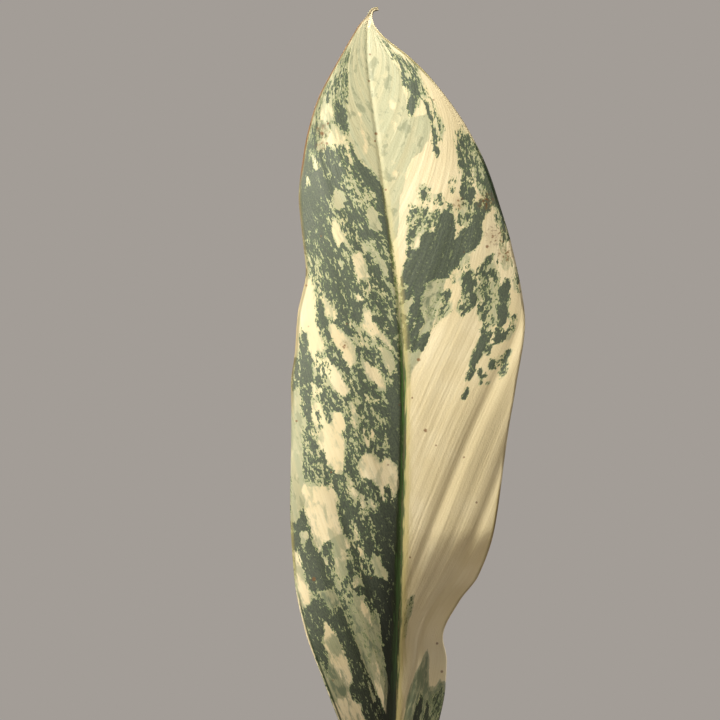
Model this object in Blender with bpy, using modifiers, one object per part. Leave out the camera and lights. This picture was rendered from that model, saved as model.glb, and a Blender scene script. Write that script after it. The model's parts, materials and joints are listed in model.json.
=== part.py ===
"""A young variegated philodendron with one grown leaf, in a plain clay pot.

The object stands on z = 0 with the pot's centre on the z axis. The leaf's upper
face looks along -Y. Every length below is in millimetres and is turned into
metres by mm().
"""

import math
import random

import bmesh
import bpy
from mathutils import Vector, noise

# Room left between pieces that touch
CLEARANCE = 0.4

# Pot, a turned clay pot with a collar round its rim
POT_HEIGHT = 104.0
POT_RIM_RADIUS = 58.0
COLLAR_HEIGHT = 25.0
COLLAR_TAPER = 1.6
COLLAR_STEP = 3.6
COLLAR_SLOPE = 1.0
POT_FOOT_RADIUS = 38.0
POT_WALL = 5.2
POT_FLOOR = 6.0
POT_EDGE_ROUNDING = 1.6
POT_SEGMENTS = 48
DRAIN_HOLES = 3
DRAIN_RADIUS = 4.5
DRAIN_RING = 18.0

# Potting mix
SOIL_LEVEL = 92.0
SOIL_SEGMENTS = 36
SOIL_RINGS = 8
SOIL_RELIEF = 1.5
SOIL_MOUND = 2.4
SOIL_SINK = 1.0
SOIL_FOOT_BEVEL = 2.5
CHIP_COUNT = 26
CHIP_SEED = 7
CHIP_NEAREST = 15.0
CHIP_FROM_WALL = 9.0

# Stem, standing in a plain hole in the mix
STEM_RADIUS = 6.2
STEM_FOOT = 66.0
STEM_TOP = 117.0
STEM_TOP_RADIUS = 7.2
STEM_TOP_ROUNDING = 2.2
STEM_TOP_WIDER = 0.16
STEM_NODE_SWELL = 0.9
STEM_NODE_SPREAD = 1.3
STEM_NODE_HEIGHTS = (97.0, 105.5, 113.0)
STEM_SEGMENTS = 20
STEM_STEPS = 24

# Leaf stalk: (x, y, z, radius), from the stem to the leaf
LEAF_BASE = Vector((-3.6, 4.0, 236.0))
PETIOLE_ROUTE = (
    (-3.3, -0.6, STEM_TOP + CLEARANCE, 4.2),
    (-3.5, -1.0, 125.0, 3.5),
    (-4.7, -1.4, 143.0, 2.9),
    (-6.2, -0.4, 170.0, 2.5),
    (-6.4, 1.4, 197.0, 2.35),
    (-5.2, 3.0, 219.0, 2.35),
    (-4.2, 3.9, 229.0, 2.7),
    (-3.7, 4.2, LEAF_BASE.z - CLEARANCE, 2.2),
)

# Sheath of the next leaf, beside the stalk
BUD_ROUTE = (
    (4.9, 0.8, STEM_TOP + CLEARANCE, 2.8),
    (5.2, 1.2, 124.0, 3.1),
    (6.2, 2.2, 139.0, 3.3),
    (8.0, 3.5, 158.0, 2.7),
    (9.8, 4.6, 174.0, 1.7),
    (11.6, 5.4, 188.0, 0.45),
)

# Air roots: (distance out, height above the root's start, radius), then a bend down to the mix
ROOT_BEARINGS = (25.0, 150.0, 262.0)
ROOT_START = 101.0
ROOT_START_STEP = 2.5
ROOT_NEAR = ((3.5, 0.0, 1.35), (8.0, 0.4, 1.3), (11.5, -1.6, 1.2))
ROOT_REACH = 15.0
ROOT_TIP_RADIUS = 0.8

# Leaf: the front view, by the distance up the leaf from its base
LEAF_LENGTH = 251.5
MIDRIB_ACROSS = (
    (0, -3.6), (37, -2.2), (80, -0.2), (130, 1.05), (155, 0.2), (185, -3.3), (213, -7.05),
    (239.5, -9.8), (245, -9.75), (248.6, -9.2), (250.4, -8.5), (251.1, -8.0), (251.5, -6.5),
)
LEFT_HALF = (
    (0, 2.2), (10, 5.4), (20, 9.2), (37, 15.6), (51, 21.6), (65, 27.5), (80, 31.3), (105, 33.4),
    (137, 33.6), (147, 32.1), (158, 30.7), (173, 26.5), (191, 26.1), (206, 22.8), (220, 17.8),
    (235.8, 8.5), (243, 4.4), (246.8, 2.3), (248.6, 1.1), (250.4, 0.4), (251.5, 0.3),
)
RIGHT_HALF = (
    (0, 2.2), (10, 5.2), (20, 9.0), (37, 13.9), (47, 15.5), (54, 15.6), (62, 14.0), (72.6, 18.4),
    (80, 23.6), (94, 27.5), (116, 30.0), (125, 31.1), (137, 33.2), (159, 37.0), (180, 35.7),
    (190, 34.1), (202, 31.9), (215, 27.2), (228.7, 19.3), (235.8, 13.1), (243, 4.6),
    (246.8, 1.7), (250.4, 0.4), (251.5, 0.3),
)
# The tip's hook: where the cross lines of the leaf begin to turn, and how far they turn
HOOK_START = 248.6
HOOK_TURN = math.radians(75)

# Leaf: depth. Minus is towards the viewer of the upper face
ARCH = (
    (0, 0.0), (40, -7.5), (80, -12.5), (125, -14.5), (170, -12.0), (210, -4.0), (240, 5.5),
    (251.5, 10.0),
)
# Slope at which each half rises from the midrib, and how far its edge rolls back
LEFT_FOLD = ((0, 1.0), (30, 0.62), (60, 0.46), (100, 0.34), (150, 0.26), (200, 0.26), (251.5, 0.5))
LEFT_ROLL = ((0, 0.0), (40, 0.10), (90, 0.28), (130, 0.34), (165, 0.16), (200, 0.24), (251.5, 0.0))
RIGHT_FOLD = ((0, 1.0), (30, 0.60), (60, 0.50), (100, 0.40), (150, 0.28), (200, 0.24), (251.5, 0.5))
RIGHT_ROLL = (
    (0, 0.0), (38, 0.06), (50, 0.20), (62, 1.00), (76, 0.92), (95, 0.62), (125, 0.44),
    (160, 0.30), (200, 0.26), (235, 0.05), (251.5, 0.0),
)
# Lateral veins leave the midrib and climb: height gained by a vein across a full half
VEIN_CLIMB = ((0, 100), (66, 95), (130, 82), (190, 56), (251.5, 24))
# Soft folds along the veins: (height where the fold leaves the midrib, spread, depth)
RIGHT_PLEATS = ((18, 6.6, 1.6), (42, 6.0, 0.5), (66, 6.2, 1.3), (104, 8.0, 0.6), (140, 9.0, 0.5))
LEFT_PLEATS = ((22, 7.0, 0.8), (54, 8.0, 0.8), (88, 9.0, -0.6), (124, 9.0, 0.6), (160, 9.0, 0.5))
EDGE_WAVE_DEPTH = 1.1
EDGE_WAVE_LENGTH = 61.0
EDGE_WAVE_LAG = 0.45

BLADE_THICKNESS = 0.75
MIDRIB_DEPTH = ((0, 4.3), (60, 3.2), (150, 2.0), (235, 1.1), (251.5, 0.8))
MIDRIB_HALF_WIDTH = ((0, 2.2), (60, 1.7), (150, 1.2), (251.5, 0.6))
GROOVE_DEPTH = 0.7
BLADE_ROWS = 60
BLADE_COLUMNS = 16
# Rows crowd towards the tip, and columns towards the midrib
ROW_CROWDING = 1.15
COLUMN_CROWDING = 1.45

TURN = 2 * math.pi


def mm(value):
    """Millimetres to metres."""
    return value / 1000.0


def smooth_through(stations, at):
    """A smooth curve through (place, value) stations, which doesn't overshoot them."""
    if at <= stations[0][0]:
        return stations[0][1]
    if at >= stations[-1][0]:
        return stations[-1][1]
    i = max(k for k in range(len(stations) - 1) if stations[k][0] <= at)
    (x0, y0), (x1, y1) = stations[i], stations[i + 1]
    span = x1 - x0
    slope = (y1 - y0) / span

    def tangent(k):
        if k in (0, len(stations) - 1):
            return slope
        before = (stations[k][1] - stations[k - 1][1]) / (stations[k][0] - stations[k - 1][0])
        after = (stations[k + 1][1] - stations[k][1]) / (stations[k + 1][0] - stations[k][0])
        if before * after <= 0:
            return 0.0
        return 2 * before * after / (before + after)

    f = (at - x0) / span
    start = (2 * f**3 - 3 * f**2 + 1) * y0 + (f**3 - 2 * f**2 + f) * span * tangent(i)
    end = (3 * f**2 - 2 * f**3) * y1 + (f**3 - f**2) * span * tangent(i + 1)
    return start + end


def vein_rise(share):
    """How far up a lateral vein has climbed at this share of the half's width, from 0 to 1."""
    return 0.85 * share + 0.15 * math.log(1 - 0.95 * share) / math.log(0.05)


def pleat_depth(up, share, width, pleats):
    """Depth of the soft folds at a point of one half of the leaf."""
    depth = 0.0
    for start, spread, deep in pleats:
        off = up - start - smooth_through(VEIN_CLIMB, start) * vein_rise(share)
        depth += deep * math.exp(-((off / spread) ** 2))
    return depth * min(1.0, share * width / 9.0) * (1.0 - 0.35 * share**4)


def leaf_point(up, across):
    """Point of the leaf's upper face: up in mm from the base, across from -1 to 1 at the edges."""
    left = across < 0
    share = abs(across)
    width = smooth_through(LEFT_HALF if left else RIGHT_HALF, up)
    fold = smooth_through(LEFT_FOLD if left else RIGHT_FOLD, up)
    roll = smooth_through(LEFT_ROLL if left else RIGHT_ROLL, up)
    out = share * width
    softened = math.sqrt(out**2 + 1.0) - 1.0
    depth = smooth_through(ARCH, up) - fold * softened + roll * width * share**3
    depth += pleat_depth(up, share, width, LEFT_PLEATS if left else RIGHT_PLEATS)
    lag = 0.0 if left else EDGE_WAVE_LAG
    wave = math.sin(TURN * (up / EDGE_WAVE_LENGTH + lag))
    depth += EDGE_WAVE_DEPTH * wave * share**3 * min(1.0, width / 20.0)
    rib = smooth_through(MIDRIB_HALF_WIDTH, up)
    depth += GROOVE_DEPTH * min(1.0, rib / 1.5) * math.exp(-((out / (0.8 * rib)) ** 2))
    hook = max(0.0, (up - HOOK_START) / (LEAF_LENGTH - HOOK_START))
    turned = -HOOK_TURN * hook**1.3
    side = math.copysign(out, across)
    x = smooth_through(MIDRIB_ACROSS, up) + side * math.cos(turned)
    z = up + side * math.sin(turned)
    return Vector((x, LEAF_BASE.y + depth, LEAF_BASE.z + z))


def blade_depth(up, across):
    """Thickness of the leaf there: the blade, with the midrib standing out behind it."""
    out = abs(across) * smooth_through(LEFT_HALF if across < 0 else RIGHT_HALF, up)
    rib = smooth_through(MIDRIB_HALF_WIDTH, up)
    extra = smooth_through(MIDRIB_DEPTH, up) - BLADE_THICKNESS
    return BLADE_THICKNESS + max(0.0, extra) * math.exp(-((out / rib) ** 2))


def new_collection(name):
    collection = bpy.data.collections.new(name)
    bpy.context.scene.collection.children.link(collection)
    return collection


def plain_material(name, colour, roughness):
    material = bpy.data.materials.new(name)
    material.use_nodes = True
    shader = material.node_tree.nodes["Principled BSDF"]
    shader.inputs["Base Color"].default_value = (*colour, 1.0)
    shader.inputs["Roughness"].default_value = roughness
    shader.inputs["Metallic"].default_value = 0.0
    return material


def add_object(name, data, collection):
    made = bpy.data.objects.new(name, data)
    collection.objects.link(made)
    return made


def finish_with(made, material, sharp_degrees=50.0):
    """One material all over, and smooth shading that keeps the sharper edges."""
    made.data.materials.clear()
    made.data.materials.append(material)
    made.data.shade_smooth()
    made.data.set_sharp_from_angle(angle=math.radians(sharp_degrees))


def evaluated_copy(source, name, collection):
    """A plain mesh object of what the source evaluates to, in its place. The source is removed."""
    bpy.context.view_layer.update()
    graph = bpy.context.evaluated_depsgraph_get()
    mesh = bpy.data.meshes.new_from_object(source.evaluated_get(graph))
    mesh.name = name
    place = source.matrix_world.copy()
    weld = bmesh.new()
    weld.from_mesh(mesh)
    bmesh.ops.remove_doubles(weld, verts=weld.verts, dist=1e-6)
    weld.to_mesh(mesh)
    weld.free()
    bpy.data.objects.remove(source)
    made = add_object(name, mesh, collection)
    made.matrix_world = place
    return made


def rounded_corners(corners, radius, steps=2):
    """A closed profile of (radius, height) corners, each turned into a short arc."""
    points = []
    for i, corner in enumerate(corners):
        here = Vector(corner)
        to_last = (Vector(corners[i - 1]) - here).normalized()
        to_next = (Vector(corners[(i + 1) % len(corners)]) - here).normalized()
        start = here + to_last * radius
        end = here + to_next * radius
        for k in range(steps + 1):
            f = k / steps
            points.append(start * (1 - f) ** 2 + here * 2 * f * (1 - f) + end * f**2)
    return points


def turned_mesh(name, profile, closed, segments, collection):
    """A profile of (radius, height) points turned round the z axis, as a plain mesh object."""
    mesh = bpy.data.meshes.new(name)
    edges = [(i, i + 1) for i in range(len(profile) - 1)]
    if closed:
        edges.append((len(profile) - 1, 0))
    mesh.from_pydata([(mm(r), 0.0, mm(z)) for r, z in profile], edges, [])
    guide = add_object(name + "_profile", mesh, collection)
    screw = guide.modifiers.new("turn", "SCREW")
    screw.axis = "Z"
    screw.steps = segments
    screw.render_steps = segments
    screw.use_merge_vertices = True
    screw.merge_threshold = 1e-5
    return evaluated_copy(guide, name, collection)


def tube(name, route, collection, resolution):
    """A tube through (x, y, z, radius) points, closed at both ends, as a plain mesh object."""
    curve = bpy.data.curves.new(name, "CURVE")
    curve.dimensions = "3D"
    curve.resolution_u = 4
    curve.bevel_depth = mm(1.0)
    curve.bevel_resolution = resolution
    curve.use_fill_caps = True
    spline = curve.splines.new("BEZIER")
    spline.bezier_points.add(len(route) - 1)
    for point, (x, y, z, radius) in zip(spline.bezier_points, route):
        point.co = (mm(x), mm(y), mm(z))
        point.radius = radius
        point.handle_left_type = "AUTO"
        point.handle_right_type = "AUTO"
    guide = add_object(name + "_guide", curve, collection)
    return evaluated_copy(guide, name, collection)


def boolean_with(made, others, operation):
    """Joins a collection's objects to made, or cuts them from it, and removes them."""
    step = made.modifiers.new(operation.lower(), "BOOLEAN")
    step.operation = operation
    step.operand_type = "COLLECTION"
    step.collection = others
    name = made.name
    collection = made.users_collection[0]
    made.name = name + "_before"
    result = evaluated_copy(made, name, collection)
    for other in list(others.objects):
        bpy.data.objects.remove(other)
    bpy.data.collections.remove(others)
    return result


def pot_inner_radius(height):
    """Inside radius of the pot's wall at a height above the ground."""
    low = POT_FOOT_RADIUS - POT_WALL
    high = POT_RIM_RADIUS - POT_WALL - COLLAR_SLOPE
    share = (height - POT_FLOOR) / (POT_HEIGHT - POT_FLOOR)
    return low + (high - low) * share


def drain_cutters():
    """Round cutters for the drain holes, set round the middle of the pot's floor."""
    cutters = new_collection("drain_cutters")
    for i in range(DRAIN_HOLES):
        bearing = TURN * i / DRAIN_HOLES
        shape = bmesh.new()
        bmesh.ops.create_cone(
            shape, cap_ends=True, segments=16, radius1=mm(DRAIN_RADIUS), radius2=mm(DRAIN_RADIUS),
            depth=mm(4 * POT_FLOOR),
        )
        mesh = bpy.data.meshes.new(f"drain_{i}")
        shape.to_mesh(mesh)
        shape.free()
        cutter = add_object(f"drain_{i}", mesh, cutters)
        cutter.location = (mm(DRAIN_RING * math.cos(bearing)), mm(DRAIN_RING * math.sin(bearing)), 0.0)
        cutter.hide_render = True
        cutter.display_type = "WIRE"
    return cutters


def make_pot(collection):
    """The clay pot: a thick collar over a tapering wall, with drain holes in its floor."""
    collar_foot = POT_HEIGHT - COLLAR_HEIGHT
    under_collar = POT_RIM_RADIUS - COLLAR_TAPER - COLLAR_STEP
    wall = rounded_corners(
        (
            (POT_RIM_RADIUS, POT_HEIGHT),
            (POT_RIM_RADIUS - COLLAR_TAPER, collar_foot),
            (under_collar, collar_foot - COLLAR_SLOPE),
            (POT_FOOT_RADIUS, 0.0),
            (0.0, 0.0),
            (0.0, POT_FLOOR),
            (pot_inner_radius(POT_FLOOR), POT_FLOOR),
            (pot_inner_radius(POT_HEIGHT), POT_HEIGHT),
        ),
        POT_EDGE_ROUNDING,
    )
    on_axis = [i for i, point in enumerate(wall) if point.x < POT_EDGE_ROUNDING + 0.01]
    floor = [(0.0, 0.0), (0.0, POT_FLOOR)]
    profile = [*floor[1:], *wall[on_axis[-1] + 1:], *wall[:on_axis[0]], *floor[:1]]
    pot = turned_mesh("pot", profile, False, POT_SEGMENTS, collection)
    pot = boolean_with(pot, drain_cutters(), "DIFFERENCE")
    finish_with(pot, plain_material("unglazed_clay", (0.46, 0.19, 0.10), 0.85), 40)


def soil_height(x, y):
    """Height of the mix's surface above the pot's foot: a low mound with crumbs on it."""
    share = math.hypot(x, y) / pot_inner_radius(SOIL_LEVEL)
    crumbs = noise.noise(Vector((x, y, 3.0)) * 0.16) + 0.5 * noise.noise(Vector((x, y, 9.0)) * 0.4)
    return SOIL_LEVEL + SOIL_MOUND * (1 - share**2) - SOIL_SINK + SOIL_RELIEF * crumbs


def bark_chips():
    """Flat splinters of bark, bedded in the mix and strewn evenly over it."""
    chips = new_collection("chips")
    draw = random.Random(CHIP_SEED)
    furthest = pot_inner_radius(SOIL_LEVEL) - CHIP_FROM_WALL
    for i in range(CHIP_COUNT):
        bearing = i * TURN * 0.381966
        out = CHIP_NEAREST + (furthest - CHIP_NEAREST) * math.sqrt((i + 0.5) / CHIP_COUNT)
        x = out * math.cos(bearing)
        y = out * math.sin(bearing)
        size = Vector((draw.uniform(5, 9), draw.uniform(3, 5.5), draw.uniform(2.2, 3.2)))
        shape = bmesh.new()
        bmesh.ops.create_cube(shape, size=1.0)
        for vert in shape.verts:
            uneven = (draw.uniform(0.75, 1.0), draw.uniform(0.7, 1.0), draw.uniform(0.85, 1.0))
            vert.co = Vector([mm(side * s * u) for side, s, u in zip(vert.co, size, uneven)])
        mesh = bpy.data.meshes.new(f"chip_{i}")
        shape.to_mesh(mesh)
        shape.free()
        chip = add_object(f"chip_{i}", mesh, chips)
        chip.location = (mm(x), mm(y), mm(soil_height(x, y) + 0.2))
        chip.rotation_euler = (draw.uniform(-0.3, 0.3), draw.uniform(-0.3, 0.3), draw.uniform(0, TURN))
    return chips


def make_soil(collection):
    """The mix fills the pot, with a plain hole for the stem and its top raised by a formula."""
    hole = STEM_RADIUS + CLEARANCE
    hole_floor = STEM_FOOT - CLEARANCE
    edge = pot_inner_radius(SOIL_LEVEL) - CLEARANCE
    top = [(hole + (edge - hole) * i / SOIL_RINGS, SOIL_LEVEL) for i in range(SOIL_RINGS + 1)]
    floor = POT_FLOOR + CLEARANCE
    profile = [
        (0.0, hole_floor),
        (hole, hole_floor),
        *top,
        (pot_inner_radius(floor + SOIL_FOOT_BEVEL) - CLEARANCE, floor + SOIL_FOOT_BEVEL),
        (pot_inner_radius(floor) - CLEARANCE - SOIL_FOOT_BEVEL, floor),
        (0.0, floor),
    ]
    soil = turned_mesh("potting_mix", profile, False, SOIL_SEGMENTS, collection)
    for vert in soil.data.vertices:
        if vert.co.z > mm(SOIL_LEVEL - 0.01):
            out = math.hypot(vert.co.x, vert.co.y) * 1000
            height = soil_height(vert.co.x * 1000, vert.co.y * 1000)
            share = (out - hole) / (edge - hole)
            kept_in = hole + share * (pot_inner_radius(height) - CLEARANCE - hole)
            vert.co.x *= kept_in / out
            vert.co.y *= kept_in / out
            vert.co.z = mm(height)
    soil = boolean_with(soil, bark_chips(), "UNION")
    finish_with(soil, plain_material("bark_potting_mix", (0.055, 0.035, 0.022), 0.95), 30)


def stem_radius(height):
    """Radius of the stem: plain in the mix, wider above it with a swelling at each node."""
    if height < SOIL_LEVEL + SOIL_MOUND:
        return STEM_RADIUS
    lift = (height - SOIL_LEVEL) / (STEM_TOP - SOIL_LEVEL)
    radius = STEM_RADIUS + (STEM_TOP_RADIUS - STEM_RADIUS) * lift
    for node in STEM_NODE_HEIGHTS:
        radius += STEM_NODE_SWELL * math.exp(-(((height - node) / STEM_NODE_SPREAD) ** 2))
    return radius


def air_roots():
    """Short roots that leave the stem and bend down to just above the mix."""
    roots = new_collection("roots")
    for i, bearing in enumerate(ROOT_BEARINGS):
        direction = Vector((math.cos(math.radians(bearing)), math.sin(math.radians(bearing))))
        start = ROOT_START + ROOT_START_STEP * i
        end = direction * ROOT_REACH
        rest = soil_height(end.x, end.y) + 2.4
        steps = [(out, start + lift, radius) for out, lift, radius in ROOT_NEAR]
        steps.append((ROOT_REACH, rest + 0.4, 1.1))
        steps.append((ROOT_REACH + 3.0, rest, ROOT_TIP_RADIUS))
        route = [(direction.x * out, direction.y * out, height, radius) for out, height, radius in steps]
        tube(f"root_{i}", route, roots, 1)
    return roots


def make_stem(collection):
    """The short stem with its rounded top and air roots."""
    profile = [(0.0, STEM_TOP), (stem_radius(STEM_TOP) - STEM_TOP_ROUNDING, STEM_TOP)]
    shoulder = STEM_TOP - STEM_TOP_ROUNDING
    for i in range(STEM_STEPS + 1):
        height = shoulder - (shoulder - STEM_FOOT) * i / STEM_STEPS
        profile.append((stem_radius(height), height))
    profile.append((0.0, STEM_FOOT))
    stem = turned_mesh("stem", profile, False, STEM_SEGMENTS, collection)
    for vert in stem.data.vertices:
        wider = max(0.0, (vert.co.z * 1000 - SOIL_LEVEL) / (STEM_TOP - SOIL_LEVEL)) ** 2
        vert.co.x *= 1 + STEM_TOP_WIDER * wider
    stem = boolean_with(stem, air_roots(), "UNION")
    finish_with(stem, plain_material("green_stem", (0.16, 0.22, 0.09), 0.55))


def make_petiole(collection):
    """The leaf stalk: thick where it clasps the stem, with a swollen joint below the leaf."""
    petiole = tube("petiole", PETIOLE_ROUTE, collection, 3)
    finish_with(petiole, plain_material("leaf_stalk", (0.24, 0.33, 0.13), 0.45))


def make_bud(collection):
    """The pointed sheath that holds the next leaf."""
    bud = tube("bud_sheath", BUD_ROUTE, collection, 3)
    finish_with(bud, plain_material("bud_sheath", (0.42, 0.45, 0.22), 0.5))


def make_blade(collection):
    """The leaf: one waved, folded sheet thickened backwards, with its midrib in the same body."""
    sheet = bmesh.new()
    bmesh.ops.create_grid(sheet, x_segments=BLADE_COLUMNS, y_segments=BLADE_ROWS, size=1.0)
    bmesh.ops.triangulate(sheet, faces=sheet.faces)
    places = []
    for vert in sheet.verts:
        row = (vert.co.y + 1) / 2
        up = LEAF_LENGTH * (1 - (1 - row) ** ROW_CROWDING)
        across = math.copysign(abs(vert.co.x) ** COLUMN_CROWDING, vert.co.x)
        places.append((up, across))
        vert.co = leaf_point(up, across) * mm(1.0)
    bmesh.ops.recalc_face_normals(sheet, faces=sheet.faces)
    if sum(face.normal.y * face.calc_area() for face in sheet.faces) > 0:
        bmesh.ops.reverse_faces(sheet, faces=sheet.faces)
    mesh = bpy.data.meshes.new("leaf_blade")
    sheet.to_mesh(mesh)
    sheet.free()
    blade = add_object("leaf_blade", mesh, collection)
    deepest = MIDRIB_DEPTH[0][1]
    thickness = blade.vertex_groups.new(name="thickness")
    for i, (up, across) in enumerate(places):
        thickness.add([i], blade_depth(up, across) / deepest, "REPLACE")
    shell = blade.modifiers.new("thickness", "SOLIDIFY")
    shell.thickness = mm(deepest)
    shell.offset = -1.0
    shell.vertex_group = thickness.name
    finish_with(blade, plain_material("variegated_leaf", (0.66, 0.62, 0.42), 0.45), 60)


def main():
    for old in list(bpy.data.objects):
        bpy.data.objects.remove(old)
    plant = new_collection("potted_philodendron")
    make_pot(plant)
    make_soil(plant)
    make_stem(plant)
    make_petiole(plant)
    make_bud(plant)
    make_blade(plant)


main()
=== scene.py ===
"""The looks of a young variegated philodendron with one grown leaf, in a plain clay pot.

Lengths are in millimetres until a mesh is made. The leaf's upper face looks along -Y, and up
along a part of the plant is the distance from its lower end.
"""

import json
import math
import random

import bmesh
import bpy
import numpy as np
from bpy.props import FloatProperty, FloatVectorProperty, IntProperty, PointerProperty
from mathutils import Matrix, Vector, noise

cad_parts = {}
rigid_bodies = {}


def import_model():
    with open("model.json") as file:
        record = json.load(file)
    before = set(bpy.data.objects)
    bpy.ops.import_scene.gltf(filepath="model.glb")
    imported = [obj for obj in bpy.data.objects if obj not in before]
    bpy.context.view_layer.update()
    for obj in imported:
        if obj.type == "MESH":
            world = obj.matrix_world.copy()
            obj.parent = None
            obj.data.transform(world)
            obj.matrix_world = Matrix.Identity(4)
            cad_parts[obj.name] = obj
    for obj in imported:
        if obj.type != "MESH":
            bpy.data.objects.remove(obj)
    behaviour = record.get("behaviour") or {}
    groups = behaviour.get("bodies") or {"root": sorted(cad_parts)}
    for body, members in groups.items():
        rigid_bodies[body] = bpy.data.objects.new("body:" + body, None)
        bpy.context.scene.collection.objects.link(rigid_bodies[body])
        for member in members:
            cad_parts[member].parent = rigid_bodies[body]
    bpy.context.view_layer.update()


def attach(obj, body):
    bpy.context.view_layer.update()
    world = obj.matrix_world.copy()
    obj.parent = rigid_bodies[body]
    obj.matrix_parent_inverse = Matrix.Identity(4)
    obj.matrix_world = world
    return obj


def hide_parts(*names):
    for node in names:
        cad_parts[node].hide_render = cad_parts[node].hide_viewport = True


bl_info = {
    "name": "Potted philodendron",
    "version": (1, 0, 0),
    "blender": (4, 5, 0),
    "location": "3D View > Sidebar > Plant",
    "description": "Dresses a young variegated philodendron in a clay pot, and sets a plain stage",
    "category": "Object",
}

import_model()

TURN = 2 * math.pi

# Edges that turn further than this look sharp
SHARP_ANGLE = math.radians(50)
GRAIN_SHARP_ANGLE = math.radians(35)

# Pot
POT_HEIGHT = 104.0
POT_RIM_RADIUS = 58.0
COLLAR_HEIGHT = 25.0
COLLAR_TAPER = 1.6
COLLAR_STEP = 3.6
COLLAR_SLOPE = 1.0
POT_FOOT_RADIUS = 38.0
POT_WALL = 5.2
POT_FLOOR = 6.0
POT_EDGE_ROUNDING = 1.6
DRAIN_HOLES = 3
DRAIN_RADIUS = 4.5
DRAIN_RING = 18.0

# Potting mix
CLEARANCE = 0.4
SOIL_LEVEL = 92.0
SOIL_RELIEF = 1.5
SOIL_MOUND = 2.4
SOIL_SINK = 1.0
SOIL_FOOT_BEVEL = 2.5
CRUMB_HEIGHT = 0.55

# Stem
STEM_RADIUS = 6.2
STEM_FOOT = 66.0
STEM_TOP = 117.0
STEM_TOP_RADIUS = 7.2
STEM_TOP_ROUNDING = 2.6
STEM_TOP_WIDER = 0.16
STEM_NODE_SWELL = 0.9
STEM_NODE_SPREAD = 1.3
STEM_NODE_HEIGHTS = (97.0, 105.5, 113.0)
SCAR_DEPTH = 0.35
SCAR_WIDTH = 0.35
SCAR_LIFT = 1.9
ROOT_BEARINGS = (25.0, 150.0, 262.0)
ROOT_START = 101.0
ROOT_START_STEP = 2.5
ROOT_NEAR = ((3.5, 0.0, 1.35), (8.0, 0.4, 1.3), (11.5, -1.6, 1.2))
ROOT_REACH = 15.0
ROOT_TIP_RADIUS = 0.8

# Leaf stalk and the sheath of the next leaf: (x, y, z, radius)
LEAF_BASE = Vector((-3.6, 4.0, 236.0))
PETIOLE_ROUTE = (
    (-3.0, -0.4, 114.6, 4.6), (-3.3, -0.6, 117.4, 4.2), (-3.5, -1.0, 125.0, 3.5),
    (-4.7, -1.4, 143.0, 2.9), (-6.2, -0.4, 170.0, 2.5), (-6.4, 1.4, 197.0, 2.35),
    (-5.2, 3.0, 219.0, 2.35), (-4.2, 3.9, 229.0, 2.75), (-3.7, 4.9, 236.5, 2.5),
    (-3.5, 5.6, 240.0, 1.6),
)
BUD_ROUTE = (
    (4.7, 0.6, 114.8, 2.8), (4.9, 0.8, 117.4, 2.8), (5.2, 1.2, 124.0, 3.1),
    (6.2, 2.2, 139.0, 3.3), (8.0, 3.5, 158.0, 2.7), (9.8, 4.6, 174.0, 1.7),
    (11.6, 5.4, 188.0, 0.45),
)

# Leaf: the front view, by the distance up the leaf from its base
LEAF_LENGTH = 251.5
MIDRIB_ACROSS = (
    (0, -3.6), (37, -2.2), (80, -0.2), (130, 1.05), (155, 0.2), (185, -3.3), (213, -7.05),
    (239.5, -9.8), (245, -9.75), (248.6, -9.2), (250.4, -8.5), (251.1, -8.0), (251.5, -6.5),
)
LEFT_HALF = (
    (0, 2.2), (10, 5.4), (20, 9.2), (37, 15.6), (51, 21.6), (65, 27.5), (80, 31.3), (105, 33.4),
    (137, 33.6), (147, 32.1), (158, 30.7), (173, 26.5), (191, 26.1), (206, 22.8), (220, 17.8),
    (235.8, 8.5), (243, 4.4), (246.8, 2.3), (248.6, 1.1), (250.4, 0.4), (251.5, 0.3),
)
RIGHT_HALF = (
    (0, 2.2), (10, 5.2), (20, 9.0), (37, 13.9), (47, 15.5), (54, 15.6), (62, 14.0), (72.6, 18.4),
    (80, 23.6), (94, 27.5), (116, 30.0), (125, 31.1), (137, 33.2), (159, 37.0), (180, 35.7),
    (190, 34.1), (202, 31.9), (215, 27.2), (228.7, 19.3), (235.8, 13.1), (243, 4.6),
    (246.8, 1.7), (250.4, 0.4), (251.5, 0.3),
)
HOOK_START = 248.6
HOOK_TURN = math.radians(75)
HOOK_BEND = 1.3
ARCH = (
    (0, 0.0), (40, -7.5), (80, -12.5), (125, -14.5), (170, -12.0), (210, -4.0), (240, 5.5),
    (251.5, 10.0),
)
LEFT_FOLD = ((0, 1.0), (30, 0.62), (60, 0.36), (100, 0.12), (150, 0.06), (200, 0.14), (251.5, 0.2))
LEFT_ROLL = ((0, 0.0), (40, 0.10), (90, 0.28), (130, 0.34), (165, 0.32), (200, 0.20), (251.5, 0.0))
RIGHT_FOLD = (
    (0, 1.0), (14, 0.10), (34, -0.40), (55, -0.25), (75, 0.18), (100, 0.30), (150, 0.20),
    (200, 0.12), (251.5, 0.2),
)
RIGHT_ROLL = (
    (0, 0.0), (20, -0.06), (38, 0.02), (50, 0.50), (62, 1.0), (76, 0.88), (95, 0.36), (125, 0.28),
    (160, 0.22), (200, 0.24), (235, 0.05), (251.5, 0.0),
)
# How sharply a margin's roll sets in: lower where it starts near the midrib
LEFT_ROLL_BEND = ((0, 3.0), (LEAF_LENGTH, 3.0))
RIGHT_ROLL_BEND = (
    (0, 3.0), (30, 3.0), (48, 1.6), (62, 1.2), (80, 1.2), (105, 1.25), (130, 1.5), (165, 1.8),
    (200, 2.6), (230, 3.0),
)
# Height that a side vein gains on its way across a full half
VEIN_CLIMB = ((0, 100), (66, 95), (130, 82), (190, 56), (251.5, 24))
# How often the search for a side vein's start halves its range
VEIN_HALVINGS = 22
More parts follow.
